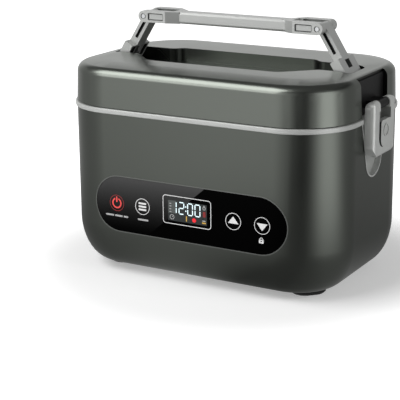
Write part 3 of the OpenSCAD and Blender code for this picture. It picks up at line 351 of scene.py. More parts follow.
@dataclass(frozen=True)
class Finish:
    """One procedural surface finish.

    Attributes:
        name: the material's name.
        slot: the record's material slot that it belongs to; not used.
        colour: linear base colour.
        rough: lowest roughness.
        vary: how much the roughness rises over the surface.
        grain: cells of fine texture in a metre.
        depth: height of that texture in metres.
        metal: metallic share.
        specular: specular level of the surface.
        glow: strength of light given off.
        brushed: whether the texture is brushed lines.
        painted_reflection: whether a painted reflection on the panel's lens sets the base colour.
        recess: how much painted shade darkens it in narrow recesses.
    """

    name: str
    slot: str
    colour: Colour
    rough: float = 0.4
    vary: float = 0.06
    grain: float = 2600.0
    depth: float = 0.000012
    metal: float = 0.0
    specular: float = 0.5
    glow: float = 0.0
    brushed: bool = False
    painted_reflection: bool = False
    recess: float = 0.0
    BUMP: ClassVar[float] = 0.5

    def build(self) -> bpy.types.Material:
        """Make the material, or return it if it was made before."""
        known = bpy.data.materials.get(self.name)
        if known:
            return known
        material = bpy.data.materials.new(self.name)
        material.use_nodes = True
        tree = material.node_tree
        shader = tree.nodes["Principled BSDF"]
        effect = tree.nodes.new("ShaderNodeGroup")
        effect.node_tree = Effects.brushing() if self.brushed else Effects.mould_grain_and_shade()
        preset(effect, {"Scale": self.grain, "Rough": self.rough, "Vary": self.vary})
        # Painted shade in narrow recesses.
        if self.recess:
            preset(effect, {"Recess": self.recess})
        tone = tree.nodes.new("ShaderNodeMix")
        tone.data_type = "RGBA"
        tone.blend_type = "MULTIPLY"
        tone.inputs["Factor"].default_value = 1.0
        tone.inputs["A"].default_value = (*self.colour, 1.0)
        tree.links.new(effect.outputs["Tone"], tone.inputs["B"])
        tree.links.new(tone.outputs["Result"], shader.inputs["Base Color"])
        tree.links.new(effect.outputs["Roughness"], shader.inputs["Roughness"])
        bump = tree.nodes.new("ShaderNodeBump")
        preset(bump, {"Strength": self.BUMP, "Distance": self.depth})
        tree.links.new(effect.outputs["Height"], bump.inputs["Height"])
        tree.links.new(bump.outputs["Normal"], shader.inputs["Normal"])
        # Painted reflection: a grey patch on the lens's upper left replaces the base colour.
        if self.painted_reflection:
            reflection_patch = tree.nodes.new("ShaderNodeGroup")
            reflection_patch.node_tree = Effects.panel_painted_reflection()
            tree.links.new(reflection_patch.outputs["Tone"], shader.inputs["Base Color"])
        preset(shader, {"Metallic": self.metal, "Specular IOR Level": self.specular})
        if self.glow:
            preset(shader, {"Emission Color": (*self.colour, 1.0), "Emission Strength": self.glow})
        return material


class Finishes(Enum):
    """Every finish on the lunch box."""

    BODY = Finish("body_gunmetal", "body_plastic", grey(0.130, 0.052), 0.28, 0.05, metal=1.0)
    # The recess values give the strength of painted shade in narrow recesses.
    LID = Finish("lid_gunmetal", "lid_plastic", grey(0.175, 0.052), 0.26, 0.05, metal=1.0, recess=0.86)
    TRIM = Finish("trim_silver_grey", "trim_plastic", grey(0.56, 0.015), 0.32, 0.06, metal=0.25, recess=0.82)
    BEZEL = Finish("bezel_grey", "trim_plastic", grey(0.17, 0.03), 0.30, 0.06, metal=0.5)
    LATCH = Finish("latch_grey", "latch_plastic", grey(0.66, 0.015), 0.32, 0.06, metal=0.35, recess=0.93)
    HANDLE = Finish("handle_grey", "handle_plastic", grey(0.53, 0.012), 0.34, 0.06, metal=0.4, recess=0.9)
    SHADE = Finish("groove_shade", "handle_plastic", grey(0.03), 0.5)
    LINER = Finish("liner_grey", "liner_plastic", grey(0.60, 0.01), 0.42, 0.06)
    BLACK = Finish("black_moulding", "black_plastic", grey(0.022), 0.38, 0.08)
    BRACKET = Finish("bracket_black", "black_plastic", grey(0.007), 0.35, 0.06, specular=0.15)
    RUBBER = Finish("foot_rubber", "foot_rubber", grey(0.014), 0.62, 0.15, 1500.0, 0.00003)
    GASKET = Finish("gasket_silicone", "gasket_silicone", grey(0.62), 0.5, 0.1)
    # The lens's base colour is set by its painted reflection.
    LENS = Finish("lens_gloss_black", "lens_gloss", grey(0.0035), 0.06, 0.02, 300.0, 0.000001,
                  specular=0.02, painted_reflection=True)
    PAN = Finish("pan_steel", "pan_steel", grey(0.60), 0.24, 0.14, 900.0, 0.000004, 1.0, brushed=True)
    PIN = Finish("pin_steel", "pin_steel", grey(0.42), 0.22, 0.1, 2000.0, 0.000004, 1.0)
    ALLOY = Finish("heater_alloy", "heater_alloy", grey(0.52), 0.45, 0.15, 900.0, 0.00005, 1.0)
    BOARD = Finish("board_green", "circuit_board", (0.03, 0.16, 0.07), 0.35, 0.1)
    BRASS = Finish("spring_brass", "spring_brass", (0.62, 0.44, 0.17), 0.3, 0.1, 2000.0, 0.000004, 1.0)
    FELT = Finish("insulation_felt", "felt", (0.62, 0.6, 0.55), 0.85, 0.1, 700.0, 0.0004)
    WIRE = Finish("wire_jacket", "wire_jacket", (0.22, 0.07, 0.05), 0.45, 0.1)
    CERAMIC = Finish("cutoff_ceramic", "cutoff_ceramic", (0.64, 0.62, 0.56), 0.55, 0.1)
    PRINT = Finish("print_white", "lens_gloss", grey(0.78), 0.45, 0.05, glow=0.15)
    PRINT_GREY = Finish("print_grey", "lens_gloss", grey(0.45), 0.45, 0.05, glow=0.1)
    PRINT_RED = Finish("print_red", "lens_gloss", (0.72, 0.06, 0.055), 0.45, 0.05, glow=0.4)
    SCREEN = Finish("screen_grey", "lens_gloss", (0.018, 0.024, 0.024), 0.25, 0.05)
    # A paler patch on the display's glass: a painted sheen.
    SCREEN_SHEEN = Finish("screen_sheen", "lens_gloss", (0.09, 0.1, 0.095), 0.25, 0.05)
    DIGIT = Finish("digit_white", "lens_gloss", (0.72, 0.88, 0.92), 0.4, 0.05, glow=0.6)
    ICON_RED = Finish("icon_red", "lens_gloss", (0.75, 0.01, 0.02), 0.4, 0.05, glow=0.5)
    ICON_DARK_RED = Finish("icon_dark_red", "lens_gloss", (0.22, 0.015, 0.015), 0.4, 0.05, glow=0.3)
    ICON_AMBER = Finish("icon_amber", "lens_gloss", (0.55, 0.33, 0.05), 0.4, 0.05, glow=0.3)

    def dress(self, piece: bpy.types.Object) -> bpy.types.Object:
        """Give the whole piece this finish."""
        piece.data.materials.clear()
        piece.data.materials.append(self.value.build())
        return piece


# ---------------------------------------------------------------- meshes


def piece_from(mesh: BMesh, name: str, finish: Finishes, body: str,
               smooth: float = 35.0) -> bpy.types.Object:
    """Turn a bmesh into a finished piece that rides on a body.

    Args:
        mesh: the piece's bmesh, in metres, in place; it is freed.
        name: the piece's name.
        finish: its finish.
        body: the body that it moves with.
        smooth: edges that turn less than this many degrees are shaded smooth.

    Returns:
        The new object.
    """
    bmesh.ops.recalc_face_normals(mesh, faces=mesh.faces)
    line_up(mesh)
    data = settle(mesh, name)
    data.shade_smooth()
    data.set_sharp_from_angle(angle=math.radians(smooth))
    piece = show(name, data)
    finish.dress(piece)
    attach(piece, body)
    LOG.info("made %s on %s", name, body)
    return piece


def flatten_shading(data: bpy.types.Mesh, limit: float) -> None:
    """Let the larger faces round each corner set its normal, so that flat walls shade flat.

    Args:
        data: the mesh, with its sharp edges marked.
        limit: faces that turn more than this many degrees don't share a normal.
    """
    count = len(data.loops)
    owner = np.empty(count, dtype=np.int64)
    data.loops.foreach_get("vertex_index", owner)
    sizes = np.empty(len(data.polygons), dtype=np.int64)
    data.polygons.foreach_get("loop_total", sizes)
    normal = np.empty(len(sizes) * 3)
    data.polygons.foreach_get("normal", normal)
    area = np.empty(len(sizes))
    data.polygons.foreach_get("area", area)
    face = np.repeat(np.arange(len(sizes)), sizes)
    order = np.argsort(owner, kind="stable")
    _, start, around = np.unique(owner[order], return_index=True, return_counts=True)
    start, around = np.repeat(start, around), np.repeat(around, around)
    first = np.repeat(np.arange(count), around)
    step = np.arange(len(first)) - np.repeat(np.cumsum(around) - around, around)
    mine, other = face[order[first]], face[order[np.repeat(start, around) + step]]
    normal = normal.reshape(-1, 3)
    near = (normal[mine] * normal[other]).sum(axis=1) > math.cos(math.radians(limit))
    weight = np.where(near, area[other] ** 2 + 1e-18, 0.0)
    total = np.stack([np.bincount(first, weight * normal[other, k], count) for k in range(3)], axis=1)
    total /= np.maximum(np.linalg.norm(total, axis=1, keepdims=True), 1e-30)
    result = np.empty_like(total)
    result[order] = total
    data.normals_split_custom_set(result.tolist())


@dataclass
class Casting:
    """A constructed node shown with merged vertices, smooth shading and softened edges.

    Attributes:
        node: the node's name.
        body: the body that it rides on.
        finish: its finish.
        edge: width of the rounding on its sharp edges, in metres.
        smooth: edges that turn less than this many degrees stay smooth.
        merge: vertices closer than this become one, in metres.
        flat: faces that turn less than this many degrees are joined.
        shade_reach: reach of the painted shade in recesses, in metres, or 0 for none.
        cuts: heights at which tall faces are divided, so that the painted shade in their recesses changes in
            steps.
    """

    node: str
    body: str
    finish: Finishes
    edge: float = 0.0
    smooth: float = 28.0
    merge: float = 0.000004
    flat: float = 0.6
    shade_reach: float = 0.0
    cuts: tuple[float, ...] = ()
    ROUND_FROM: ClassVar[float] = 4.0
    SMOOTH_MORE: ClassVar[float] = 12.0

    def build(self, source: bpy.types.Object, closeness: Closeness) -> bpy.types.Object:
        """Copy the node's mesh, clean it and let the copy stand for the node.

        Args:
            source: the node's object.
            closeness: finds the recesses.

        Returns:
            The piece that is shown.
        """
        mesh = bmesh.new()
        mesh.from_mesh(source.data)
        bmesh.ops.remove_doubles(mesh, verts=mesh.verts, dist=self.merge)
        flat = math.radians(self.flat)
        bmesh.ops.dissolve_limit(mesh, angle_limit=flat, verts=mesh.verts, edges=mesh.edges)
        if self.edge:
            limit = math.radians(self.smooth + self.ROUND_FROM)
            sharp = [e for e in mesh.edges if e.is_manifold and e.calc_face_angle(0.0) > limit]
            bmesh.ops.bevel(mesh, geom=sharp, offset=self.edge, offset_type="WIDTH", affect="EDGES",
                            segments=2, profile=0.5, material=-1, clamp_overlap=True)
        for height in self.cuts:
            everything = list(mesh.verts) + list(mesh.edges) + list(mesh.faces)
            bmesh.ops.bisect_plane(mesh, geom=everything, plane_co=(0, 0, height), plane_no=(0, 0, 1))
        data = settle(mesh, self.node + "_finish")
        data.shade_smooth()
        smooth = self.smooth + self.SMOOTH_MORE if self.edge else self.smooth
        data.set_sharp_from_angle(angle=math.radians(smooth))
        flatten_shading(data, smooth)
        # Painted shade: mark how closed in each face is, so that its recesses render darker.
        if self.shade_reach:
            closeness.mark(data, self.shade_reach)
        piece = show(self.node + "_finish", data)
        self.finish.dress(piece)
        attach(piece, self.body)
        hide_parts(self.node)
        LOG.info("finished %s", self.node)
        return piece


@dataclass
class GrooveShadeLines:
    """Dark line laid round the floor of the groove on each cheek of the grip: painted shade where the
    groove's walls meet its floor.

    Attributes:
        pivot: the upper pivot of the right link, in metres.
        cheek: distance of a cheek's face from the middle, along Y.
        near: distance of the groove's outer end from the pivot.
        far: distance of its inner end.
        half: half its height.
        depth: its depth.
        line: width of the line.
        rise: thickness of the line.
    """

    pivot: Vector
    cheek: float
    near: float = 4.45 * MM
    far: float = 18.45 * MM
    half: float = 2.7 * MM
    depth: float = 1.0 * MM
    line: float = 0.6 * MM
    rise: float = 0.2 * MM

    def _ring(self, mesh: BMesh, end: int, side: int) -> None:
        """Add the line on one cheek.

        Args:
            mesh: the mesh that it goes into.
            end: 1 for the right end of the grip, -1 for the left.
            side: 1 for the back cheek, -1 for the front.
        """
        grid = bmesh.ops.create_grid(mesh, x_segments=1, y_segments=1, size=0.5)["verts"]
        bmesh.ops.scale(mesh, vec=(self.far - self.near, 2 * self.half, 1), verts=grid)
        cut = bmesh.ops.bevel(mesh, geom=grid, offset=self.depth, affect="VERTICES", segments=4,
                              profile=0.5, material=-1)
        outline = list(dict.fromkeys(f for v in cut["verts"] for f in v.link_faces))
        made = bmesh.ops.inset_individual(mesh, faces=outline, thickness=self.line)["faces"]
        bmesh.ops.delete(mesh, geom=outline, context="FACES_ONLY")
        raised = bmesh.ops.extrude_face_region(mesh, geom=made)["geom"]
        top = [v for v in raised if isinstance(v, bmesh.types.BMVert)]
        bmesh.ops.translate(mesh, vec=(0, 0, self.rise), verts=top)
        ring = list(dict.fromkeys([v for f in made if f.is_valid for v in f.verts] + top))
        along = self.pivot.x - (self.near + self.far) / 2
        centre = Vector((end * along, side * (self.cheek - self.depth), self.pivot.z))
        matrix = Matrix.Translation(centre) @ Matrix.Rotation(math.radians(-90 * side), 4, "X")
        bmesh.ops.transform(mesh, matrix=matrix, verts=ring)

    def build(self) -> bpy.types.Object:
        """Lay the four lines."""
        mesh = bmesh.new()
        for end in (-1, 1):
            for side in (-1, 1):
                self._ring(mesh, end, side)
        return piece_from(mesh, "grip_groove_shade", Finishes.SHADE, "grip")


# ---------------------------------------------------------------- printed panel


@dataclass
class PanelPrint:
    """Flat printed or lit marks that lie on the panel's lens.

    Attributes:
        face_y: where the lens's face is, in metres.
        film: thickness of the ink, in metres.
        key: outer radius of a key's ring; this and all sizes below are in millimetres.
        line: width of a thin ring.
        corner: radius of a bar's corners.
        mark: height of a dash under a key.
        gap: space between two dashes.
        clock: height of the middle of the clock.
        steps: sides of a ring.
    """

    face_y: float
    film: float = 0.00006
    key: float = 6.6
    line: float = 0.45
    corner: float = 0.3
    mark: float = 1.4
    gap: float = 1.1
    clock: float = 65.0
    steps: int = 48

    def _finish(self, mesh: BMesh, name: str, finish: Finishes, level: int = 0) -> bpy.types.Object:
        """Give flat faces their film thickness and lay them on the lens.

        Args:
            mesh: faces in the (x, z) plane, drawn in millimetres as (x, y).
            name: the piece's name.
            finish: its ink.
            level: how many films lie under it.

        Returns:
            The printed piece.
        """
        upright = Matrix.Rotation(math.radians(90), 4, "X") @ Matrix.Scale(MM, 4)
        bmesh.ops.transform(mesh, matrix=upright, verts=mesh.verts)
        raised = bmesh.ops.extrude_face_region(mesh, geom=list(mesh.faces))
        moved = [v for v in raised["geom"] if isinstance(v, bmesh.types.BMVert)]
        bmesh.ops.translate(mesh, vec=(0, -self.film, 0), verts=moved)
        bmesh.ops.translate(mesh, vec=(0, self.face_y - self.film * level, 0), verts=mesh.verts)
        return piece_from(mesh, name, finish, "base")

    @staticmethod
    def _place(mesh: BMesh, verts: list, at: Point, turn: float = 0.0) -> None:
        """Turn flat vertices by some degrees and move them to a place."""
        matrix = Matrix.Translation((at[0], at[1], 0)) @ Matrix.Rotation(math.radians(turn), 4, "Z")
        bmesh.ops.transform(mesh, matrix=matrix, verts=verts)

    def _ring(self, mesh: BMesh, at: Point, outer: float, width: float,
              gap: float = 0.0) -> None:
        """Add a ring, open over an angle at its top.

        Args:
            mesh: the mesh that it goes into.
            at: the ring's centre.
            outer: outer radius.
            width: width of its line.
            gap: angle left open, in degrees.
        """
        radii = (outer, outer - width)
        rings = [bmesh.ops.create_circle(mesh, radius=r, segments=self.steps)["verts"] for r in radii]
        edges = list(dict.fromkeys(e for ring in rings for v in ring for e in v.link_edges))
        made = bmesh.ops.bridge_loops(mesh, edges=edges)["faces"]
        if gap:
            middles = [(f, f.calc_center_median()) for f in made]
            lost = [f for f, m in middles if abs(math.degrees(math.atan2(m.x, m.y))) < gap / 2]
            bmesh.ops.delete(mesh, geom=lost, context="FACES")
        self._place(mesh, [v for ring in rings for v in ring if v.is_valid], at)

    def _disc(self, mesh: BMesh, at: Point, radius: float, sides: int = 32,
              turn: float = 0.0) -> None:
        """Add a disc, or with few sides a regular polygon."""
        verts = bmesh.ops.create_circle(mesh, cap_ends=True, radius=radius, segments=sides)["verts"]
        self._place(mesh, verts, at, turn)

    def _bar(self, mesh: BMesh, at: Point, size: Point, corner: float = 0.0,
             turn: float = 0.0) -> None:
        """Add a rectangle, rounded at its corners if wanted."""
        verts = bmesh.ops.create_grid(mesh, x_segments=1, y_segments=1, size=0.5)["verts"]
        bmesh.ops.scale(mesh, vec=(size[0], size[1], 1), verts=verts)
        if corner:
            verts = bmesh.ops.bevel(mesh, geom=verts, offset=corner, affect="VERTICES", segments=5,
                                    profile=0.5, material=-1)["verts"]
        self._place(mesh, verts, at, turn)

    def key_ring(self, name: str, at: Point, radius: float, line: float) -> None:
        """Ring of a touch key."""
        mesh = bmesh.new()
        self._ring(mesh, at, radius, line)
        self._finish(mesh, name, Finishes.PRINT)

    def power_key(self, at: Point) -> None:
        """Red power key: thin ring, open ring and bar."""
        mesh = bmesh.new()
        self._ring(mesh, at, self.key, self.line)
        self._finish(mesh, "power_key_ring", Finishes.ICON_DARK_RED)
        radius, stroke, opening = 4.35, 1.15, 52
        rise, length = 3.0, 4.6
        mesh = bmesh.new()
        self._ring(mesh, at, radius, stroke, gap=opening)
        self._bar(mesh, (at[0], at[1] + rise), (stroke, length), self.corner)
        self._finish(mesh, "power_key_symbol", Finishes.PRINT_RED)

    def list_key(self, at: Point) -> None:
        """White key with three plain bars."""
        line, length, stroke, pitch = 0.5, 7.0, 1.5, 2.5
        self.key_ring("list_key_ring", at, self.key, line)
        mesh = bmesh.new()
        for row in (1, 0, -1):
            self._bar(mesh, (at[0], at[1] + row * pitch), (length, stroke), self.corner)
        self._finish(mesh, "list_key_symbol", Finishes.PRINT)

    def arrow_key(self, name: str, at: Point, up: bool) -> None:
        """White key with a triangle that points up or down."""
        radius, half_width, half_height, drop = 6.65, 4.5, 2.8, 0.2
        self.key_ring(name + "_ring", at, radius, self.line)
        mesh = bmesh.new()
        self._disc(mesh, (0, 0), 1.0, 3)
        bmesh.ops.scale(mesh, vec=(half_width / 0.866, half_height / 0.75, 1), verts=mesh.verts)
        centre = sum((v.co for v in mesh.verts), Vector()) / len(mesh.verts)
        bmesh.ops.translate(mesh, vec=-centre, verts=mesh.verts)
        middle = (at[0], at[1] + (drop if up else -drop))
        self._place(mesh, list(mesh.verts), middle, 0 if up else 180)
        self._finish(mesh, name + "_symbol", Finishes.PRINT)

    def padlock(self, at: Point) -> None:
        """Small white padlock under the down key."""
        case, rounding = (3.8, 2.9), 0.4
        rise, shackle, line = 1.6, 1.5, 0.5
        keyhole = 0.5
        mesh = bmesh.new()
        self._bar(mesh, at, case, rounding)
        self._ring(mesh, (at[0], at[1] + rise), shackle, line)
        self._finish(mesh, "padlock", Finishes.PRINT)
        mesh = bmesh.new()
        self._disc(mesh, at, keyhole, 16)
        self._finish(mesh, "padlock_keyhole", Finishes.LENS, 1)

    def label_marks(self, name: str, at: Point, lengths: tuple[float, ...]) -> None:
        """Row of plain dashes under a key.

        Args:
            name: the piece's name.
            at: centre of the row.
            lengths: length of each dash.
        """
        mesh = bmesh.new()
        x = at[0] - (sum(lengths) + self.gap * (len(lengths) - 1)) / 2
        for length in lengths:
            self._bar(mesh, (x + length / 2, at[1]), (length, self.mark), self.corner)
            x += length + self.gap
        self._finish(mesh, name, Finishes.PRINT_GREY)

    def screen(self) -> None:
        """Display: white rounded outline, dark glass, and a paler left part that is a painted sheen."""
        x0, x1, z0, z1 = -20.2, 22.6, 51.4, 74.2
        rounding, line = 2.6, 0.55
        mesh = bmesh.new()
        self._bar(mesh, ((x0 + x1) / 2, (z0 + z1) / 2), (x1 - x0, z1 - z0), rounding)
        outline = list(mesh.faces)
        bmesh.ops.inset_individual(mesh, faces=outline, thickness=line)
        bmesh.ops.delete(mesh, geom=outline, context="FACES_ONLY")
        self._finish(mesh, "screen_outline", Finishes.PRINT)
        fields = (
            ("screen_glass", Finishes.SCREEN, (1.7, 62.3), (34.4, 16.4), 0),
            ("screen_sheen", Finishes.SCREEN_SHEEN, (-11.6, 65.2), (7.4, 10.2), 1),
        )
        for name, finish, at, size, level in fields:
            mesh = bmesh.new()
            self._bar(mesh, at, size, self.corner)
            self._finish(mesh, name, finish, level)

    def digits(self) -> None:
        """Seven-segment clock that reads 12:00."""
        width, height, line, rounding = 4.3, 9.2, 0.85, 0.25
        dots_x, dots_rise, dot = 0.5, 1.7, 0.55
        half = height / 2
        flat, tall = (width - line, line), (line, half - line)
        spans = {
            "a": ((0, half), flat), "g": ((0, 0), flat), "d": ((0, -half), flat),
            "b": ((width / 2, half / 2), tall), "c": ((width / 2, -half / 2), tall),
            "f": ((-width / 2, half / 2), tall), "e": ((-width / 2, -half / 2), tall),
        }
        shapes = {"1": "bc", "2": "abged", "0": "abcdef"}
        mesh = bmesh.new()
        for digit, x in (("1", -10.2), ("2", -3.4), ("0", 4.3), ("0", 10.8)):
            for segment in shapes[digit]:
                (dx, dz), size = spans[segment]
                self._bar(mesh, (x + dx, self.clock + dz), size, rounding)
        for dz in (-dots_rise, dots_rise):
            self._disc(mesh, (dots_x, self.clock + dz), dot, 16)
        self._finish(mesh, "clock_digits", Finishes.DIGIT, 2)

    def icons(self) -> None:
        """Small plain symbols round the clock."""
        dial, face = (-11.9, 57.1), 2.0
        mesh = bmesh.new()
        self._ring(mesh, dial, face, self.line)
        self._bar(mesh, (-11.5, 57.4), (1.5, 0.4), 0.0, 45)
        for z in (67.8, 65.6, 63.4, 61.2):
            self._bar(mesh, (-13.3, z), (1.6, 0.6), 0.1)
        self._finish(mesh, "icon_timer", Finishes.PRINT_GREY, 2)
        mesh = bmesh.new()
        self._ring(mesh, (16.6, 67.6), 1.35, 0.5)
        self._disc(mesh, (16.6, 69.4), 0.8, 3)
        self._bar(mesh, (16.4, 57.6), (2.6, 0.8), 0.1)
        self._finish(mesh, "icon_drop", Finishes.PRINT_GREY, 2)
        mesh = bmesh.new()
        self._bar(mesh, (16.7, 62.8), (2.3, 4.2), self.corner)
        self._finish(mesh, "icon_level", Finishes.ICON_DARK_RED, 2)
        mesh = bmesh.new()
        self._disc(mesh, (7.7, 57.0), 1.7)
        self._finish(mesh, "icon_heat", Finishes.ICON_RED, 2)
        mesh = bmesh.new()
        self._bar(mesh, (1.0, 57.3), (0.9, 4.2), 0.1)
        self._bar(mesh, (16.4, 56.0), (3.4, 1.0), 0.2)
        self._finish(mesh, "icon_steps", Finishes.ICON_AMBER, 2)

    def build(self) -> None:
        """Print everything on the lens."""
        self.power_key((-62.7, 61.2))
        self.list_key((-38.9, 61.4))
        self.arrow_key("up_key", (41.6, 61.1), True)
        self.arrow_key("down_key", (66.0, 61.2), False)
        self.padlock((65.4, 48.9))
        self.label_marks("power_key_marks", (-62.9, 50.9), (7.5, 7.0, 4.0))
        self.label_marks("list_key_marks", (-38.6, 50.7), (9.5,))
        self.screen()
        self.digits()
        self.icons()


# ---------------------------------------------------------------- studio


@dataclass
class Cyclorama:
    """Floor and round wall that only reflections see, with its brightness set by bearing and height.

    Attributes:
        bearings: (bearing, level) pairs of the wall and the far floor; 0 lies along +X and 90 along +Y.
        near_bearings: the same for the floor near the box.
        rises: (share of the wall's height, factor) pairs.
        spreads: (distance from the middle in metres, share of the far levels) pairs on the floor.
        reach: radius of the wall.
        height: height of the wall.
    """

    bearings: tuple[Point, ...]
    near_bearings: tuple[Point, ...]
    rises: tuple[Point, ...]
    spreads: tuple[Point, ...]
    reach: float = 1.6
    height: float = 1.6

    @staticmethod
    def _ramp(made: GroupBuilder, value: Socket, low: float, high: float,
              stops: tuple[Point, ...], peak: float) -> Socket:
        """Look a value up in a list of stops.

        Args:
            made: the group that is being built.
            value: the socket to look up.
            low: the value at the start of the ramp.
            high: the value at its end.
            stops: (value, level) pairs.
            peak: the level that counts as 1 in the ramp.

        Returns:
            The socket with the level, divided by the peak.
        """
        place = made.node("ShaderNodeMapRange")
        preset(place, {"From Min": low, "From Max": high})
        made.link(value, place.inputs["Value"])
        ramp = made.node("ShaderNodeValToRGB")
        made.link(place.outputs["Result"], ramp.inputs["Fac"])
        elements = ramp.color_ramp.elements
        while len(elements) < len(stops):
            elements.new(0.5)
        for element, (at, level) in zip(elements, stops):
            element.position = (at - low) / (high - low)
            element.color = (*grey(level / peak), 1.0)
        return ramp.outputs["Color"]

    def _levels(self) -> bpy.types.NodeTree:
        """The group that works out the brightness at each place."""
        made = GroupBuilder("cyclorama_levels", {"Level": 1.0}, ("Value",))
        place = made.node("ShaderNodeNewGeometry")
        parts = made.node("ShaderNodeSeparateXYZ")
        made.link(place.outputs["Position"], parts.inputs["Vector"])
        bearing = made.maths("ARCTAN2", parts.outputs["Y"], parts.outputs["X"])
        peak = max(level for _, level in self.bearings + self.near_bearings)
        flat = made.node("ShaderNodeVectorMath", operation="LENGTH")
        made.link(place.outputs["Position"], flat.inputs[0])
        blend = made.node("ShaderNodeMix", data_type="RGBA")
        spread = self._ramp(made, flat.outputs["Value"], 0.0, self.reach, self.spreads, 1.0)
        made.link(spread, blend.inputs["Factor"])
        for key, stops in (("A", self.near_bearings), ("B", self.bearings)):
            turned = tuple((math.radians(at), level) for at, level in stops)
            colour = self._ramp(made, bearing, -math.pi, math.pi, turned, peak)
            made.link(colour, next(s for s in blend.inputs if s.name == key and s.type == "RGBA"))
        heights = tuple((at * self.height, level) for at, level in self.rises)
        by_height = self._ramp(made, parts.outputs["Z"], 0.0, self.height, heights, 1.0)
        value = next(s for s in blend.outputs if s.type == "RGBA")
        for factor in (by_height, made.source.outputs["Level"], peak):
            value = made.maths("MULTIPLY", value, factor)
        made.link(value, made.sink.inputs["Value"])
        return made.tree

    def build(self) -> None:
        """Spin the profile round the box and light it."""
        mesh = bmesh.new()
        inner, above = 20 * MM, 2 * MM
        profile = [(inner, above), (self.reach, above), (self.reach, self.height)]
        verts = [bmesh.ops.create_vert(mesh, co=(r, 0, z))["vert"][0] for r, z in profile]
        for a, b in zip(verts, verts[1:]):
            mesh.edges.new((a, b))
        bmesh.ops.spin(mesh, geom=list(mesh.verts) + list(mesh.edges), cent=(0, 0, 0), axis=(0, 0, 1),
                       angle=math.radians(360), steps=96, use_merge=True)
        data = settle(mesh, "cyclorama")
        card = show("cyclorama", data)
        material = bpy.data.materials.new("cyclorama")
        material.use_nodes = True
        tree = material.node_tree
        tree.nodes.clear()
        out = tree.nodes.new("ShaderNodeOutputMaterial")
        light = tree.nodes.new("ShaderNodeEmission")
        levels = tree.nodes.new("ShaderNodeGroup")
        levels.node_tree = self._levels()
        tree.links.new(levels.outputs["Value"], light.inputs["Strength"])
        tree.links.new(light.outputs["Emission"], out.inputs["Surface"])
        data.materials.append(material)
        for ray in ("camera", "diffuse", "transmission", "shadow", "volume_scatter"):
            setattr(card, "visible_" + ray, False)


@dataclass
class Lamp:
    """Soft area lamp that points at the middle of the box.

    Attributes:
        name: the lamp's name.
        place: where it stands, in metres.
        size: its width and height.
        power: its power in watts.
        mirrored: whether reflections show it.
        aim: the point that it lights.
    """

    name: str
    place: tuple[float, float, float]
    size: tuple[float, float]
    power: float
    mirrored: bool = True
    aim: tuple[float, float, float] = (0.0, 0.0, 0.1)

    def build(self) -> None:
        """Make the lamp."""
        data = bpy.data.lights.new(self.name, "AREA")
        data.shape = "RECTANGLE"
        data.size, data.size_y = self.size
        data.energy = self.power
        lamp = show(self.name, data)
        lamp.location = self.place
        lamp.visible_glossy = self.mirrored
        lamp.rotation_mode = "QUATERNION"
        lamp.rotation_quaternion = (Vector(self.aim) - Vector(self.place)).to_track_quat("-Z", "Y")


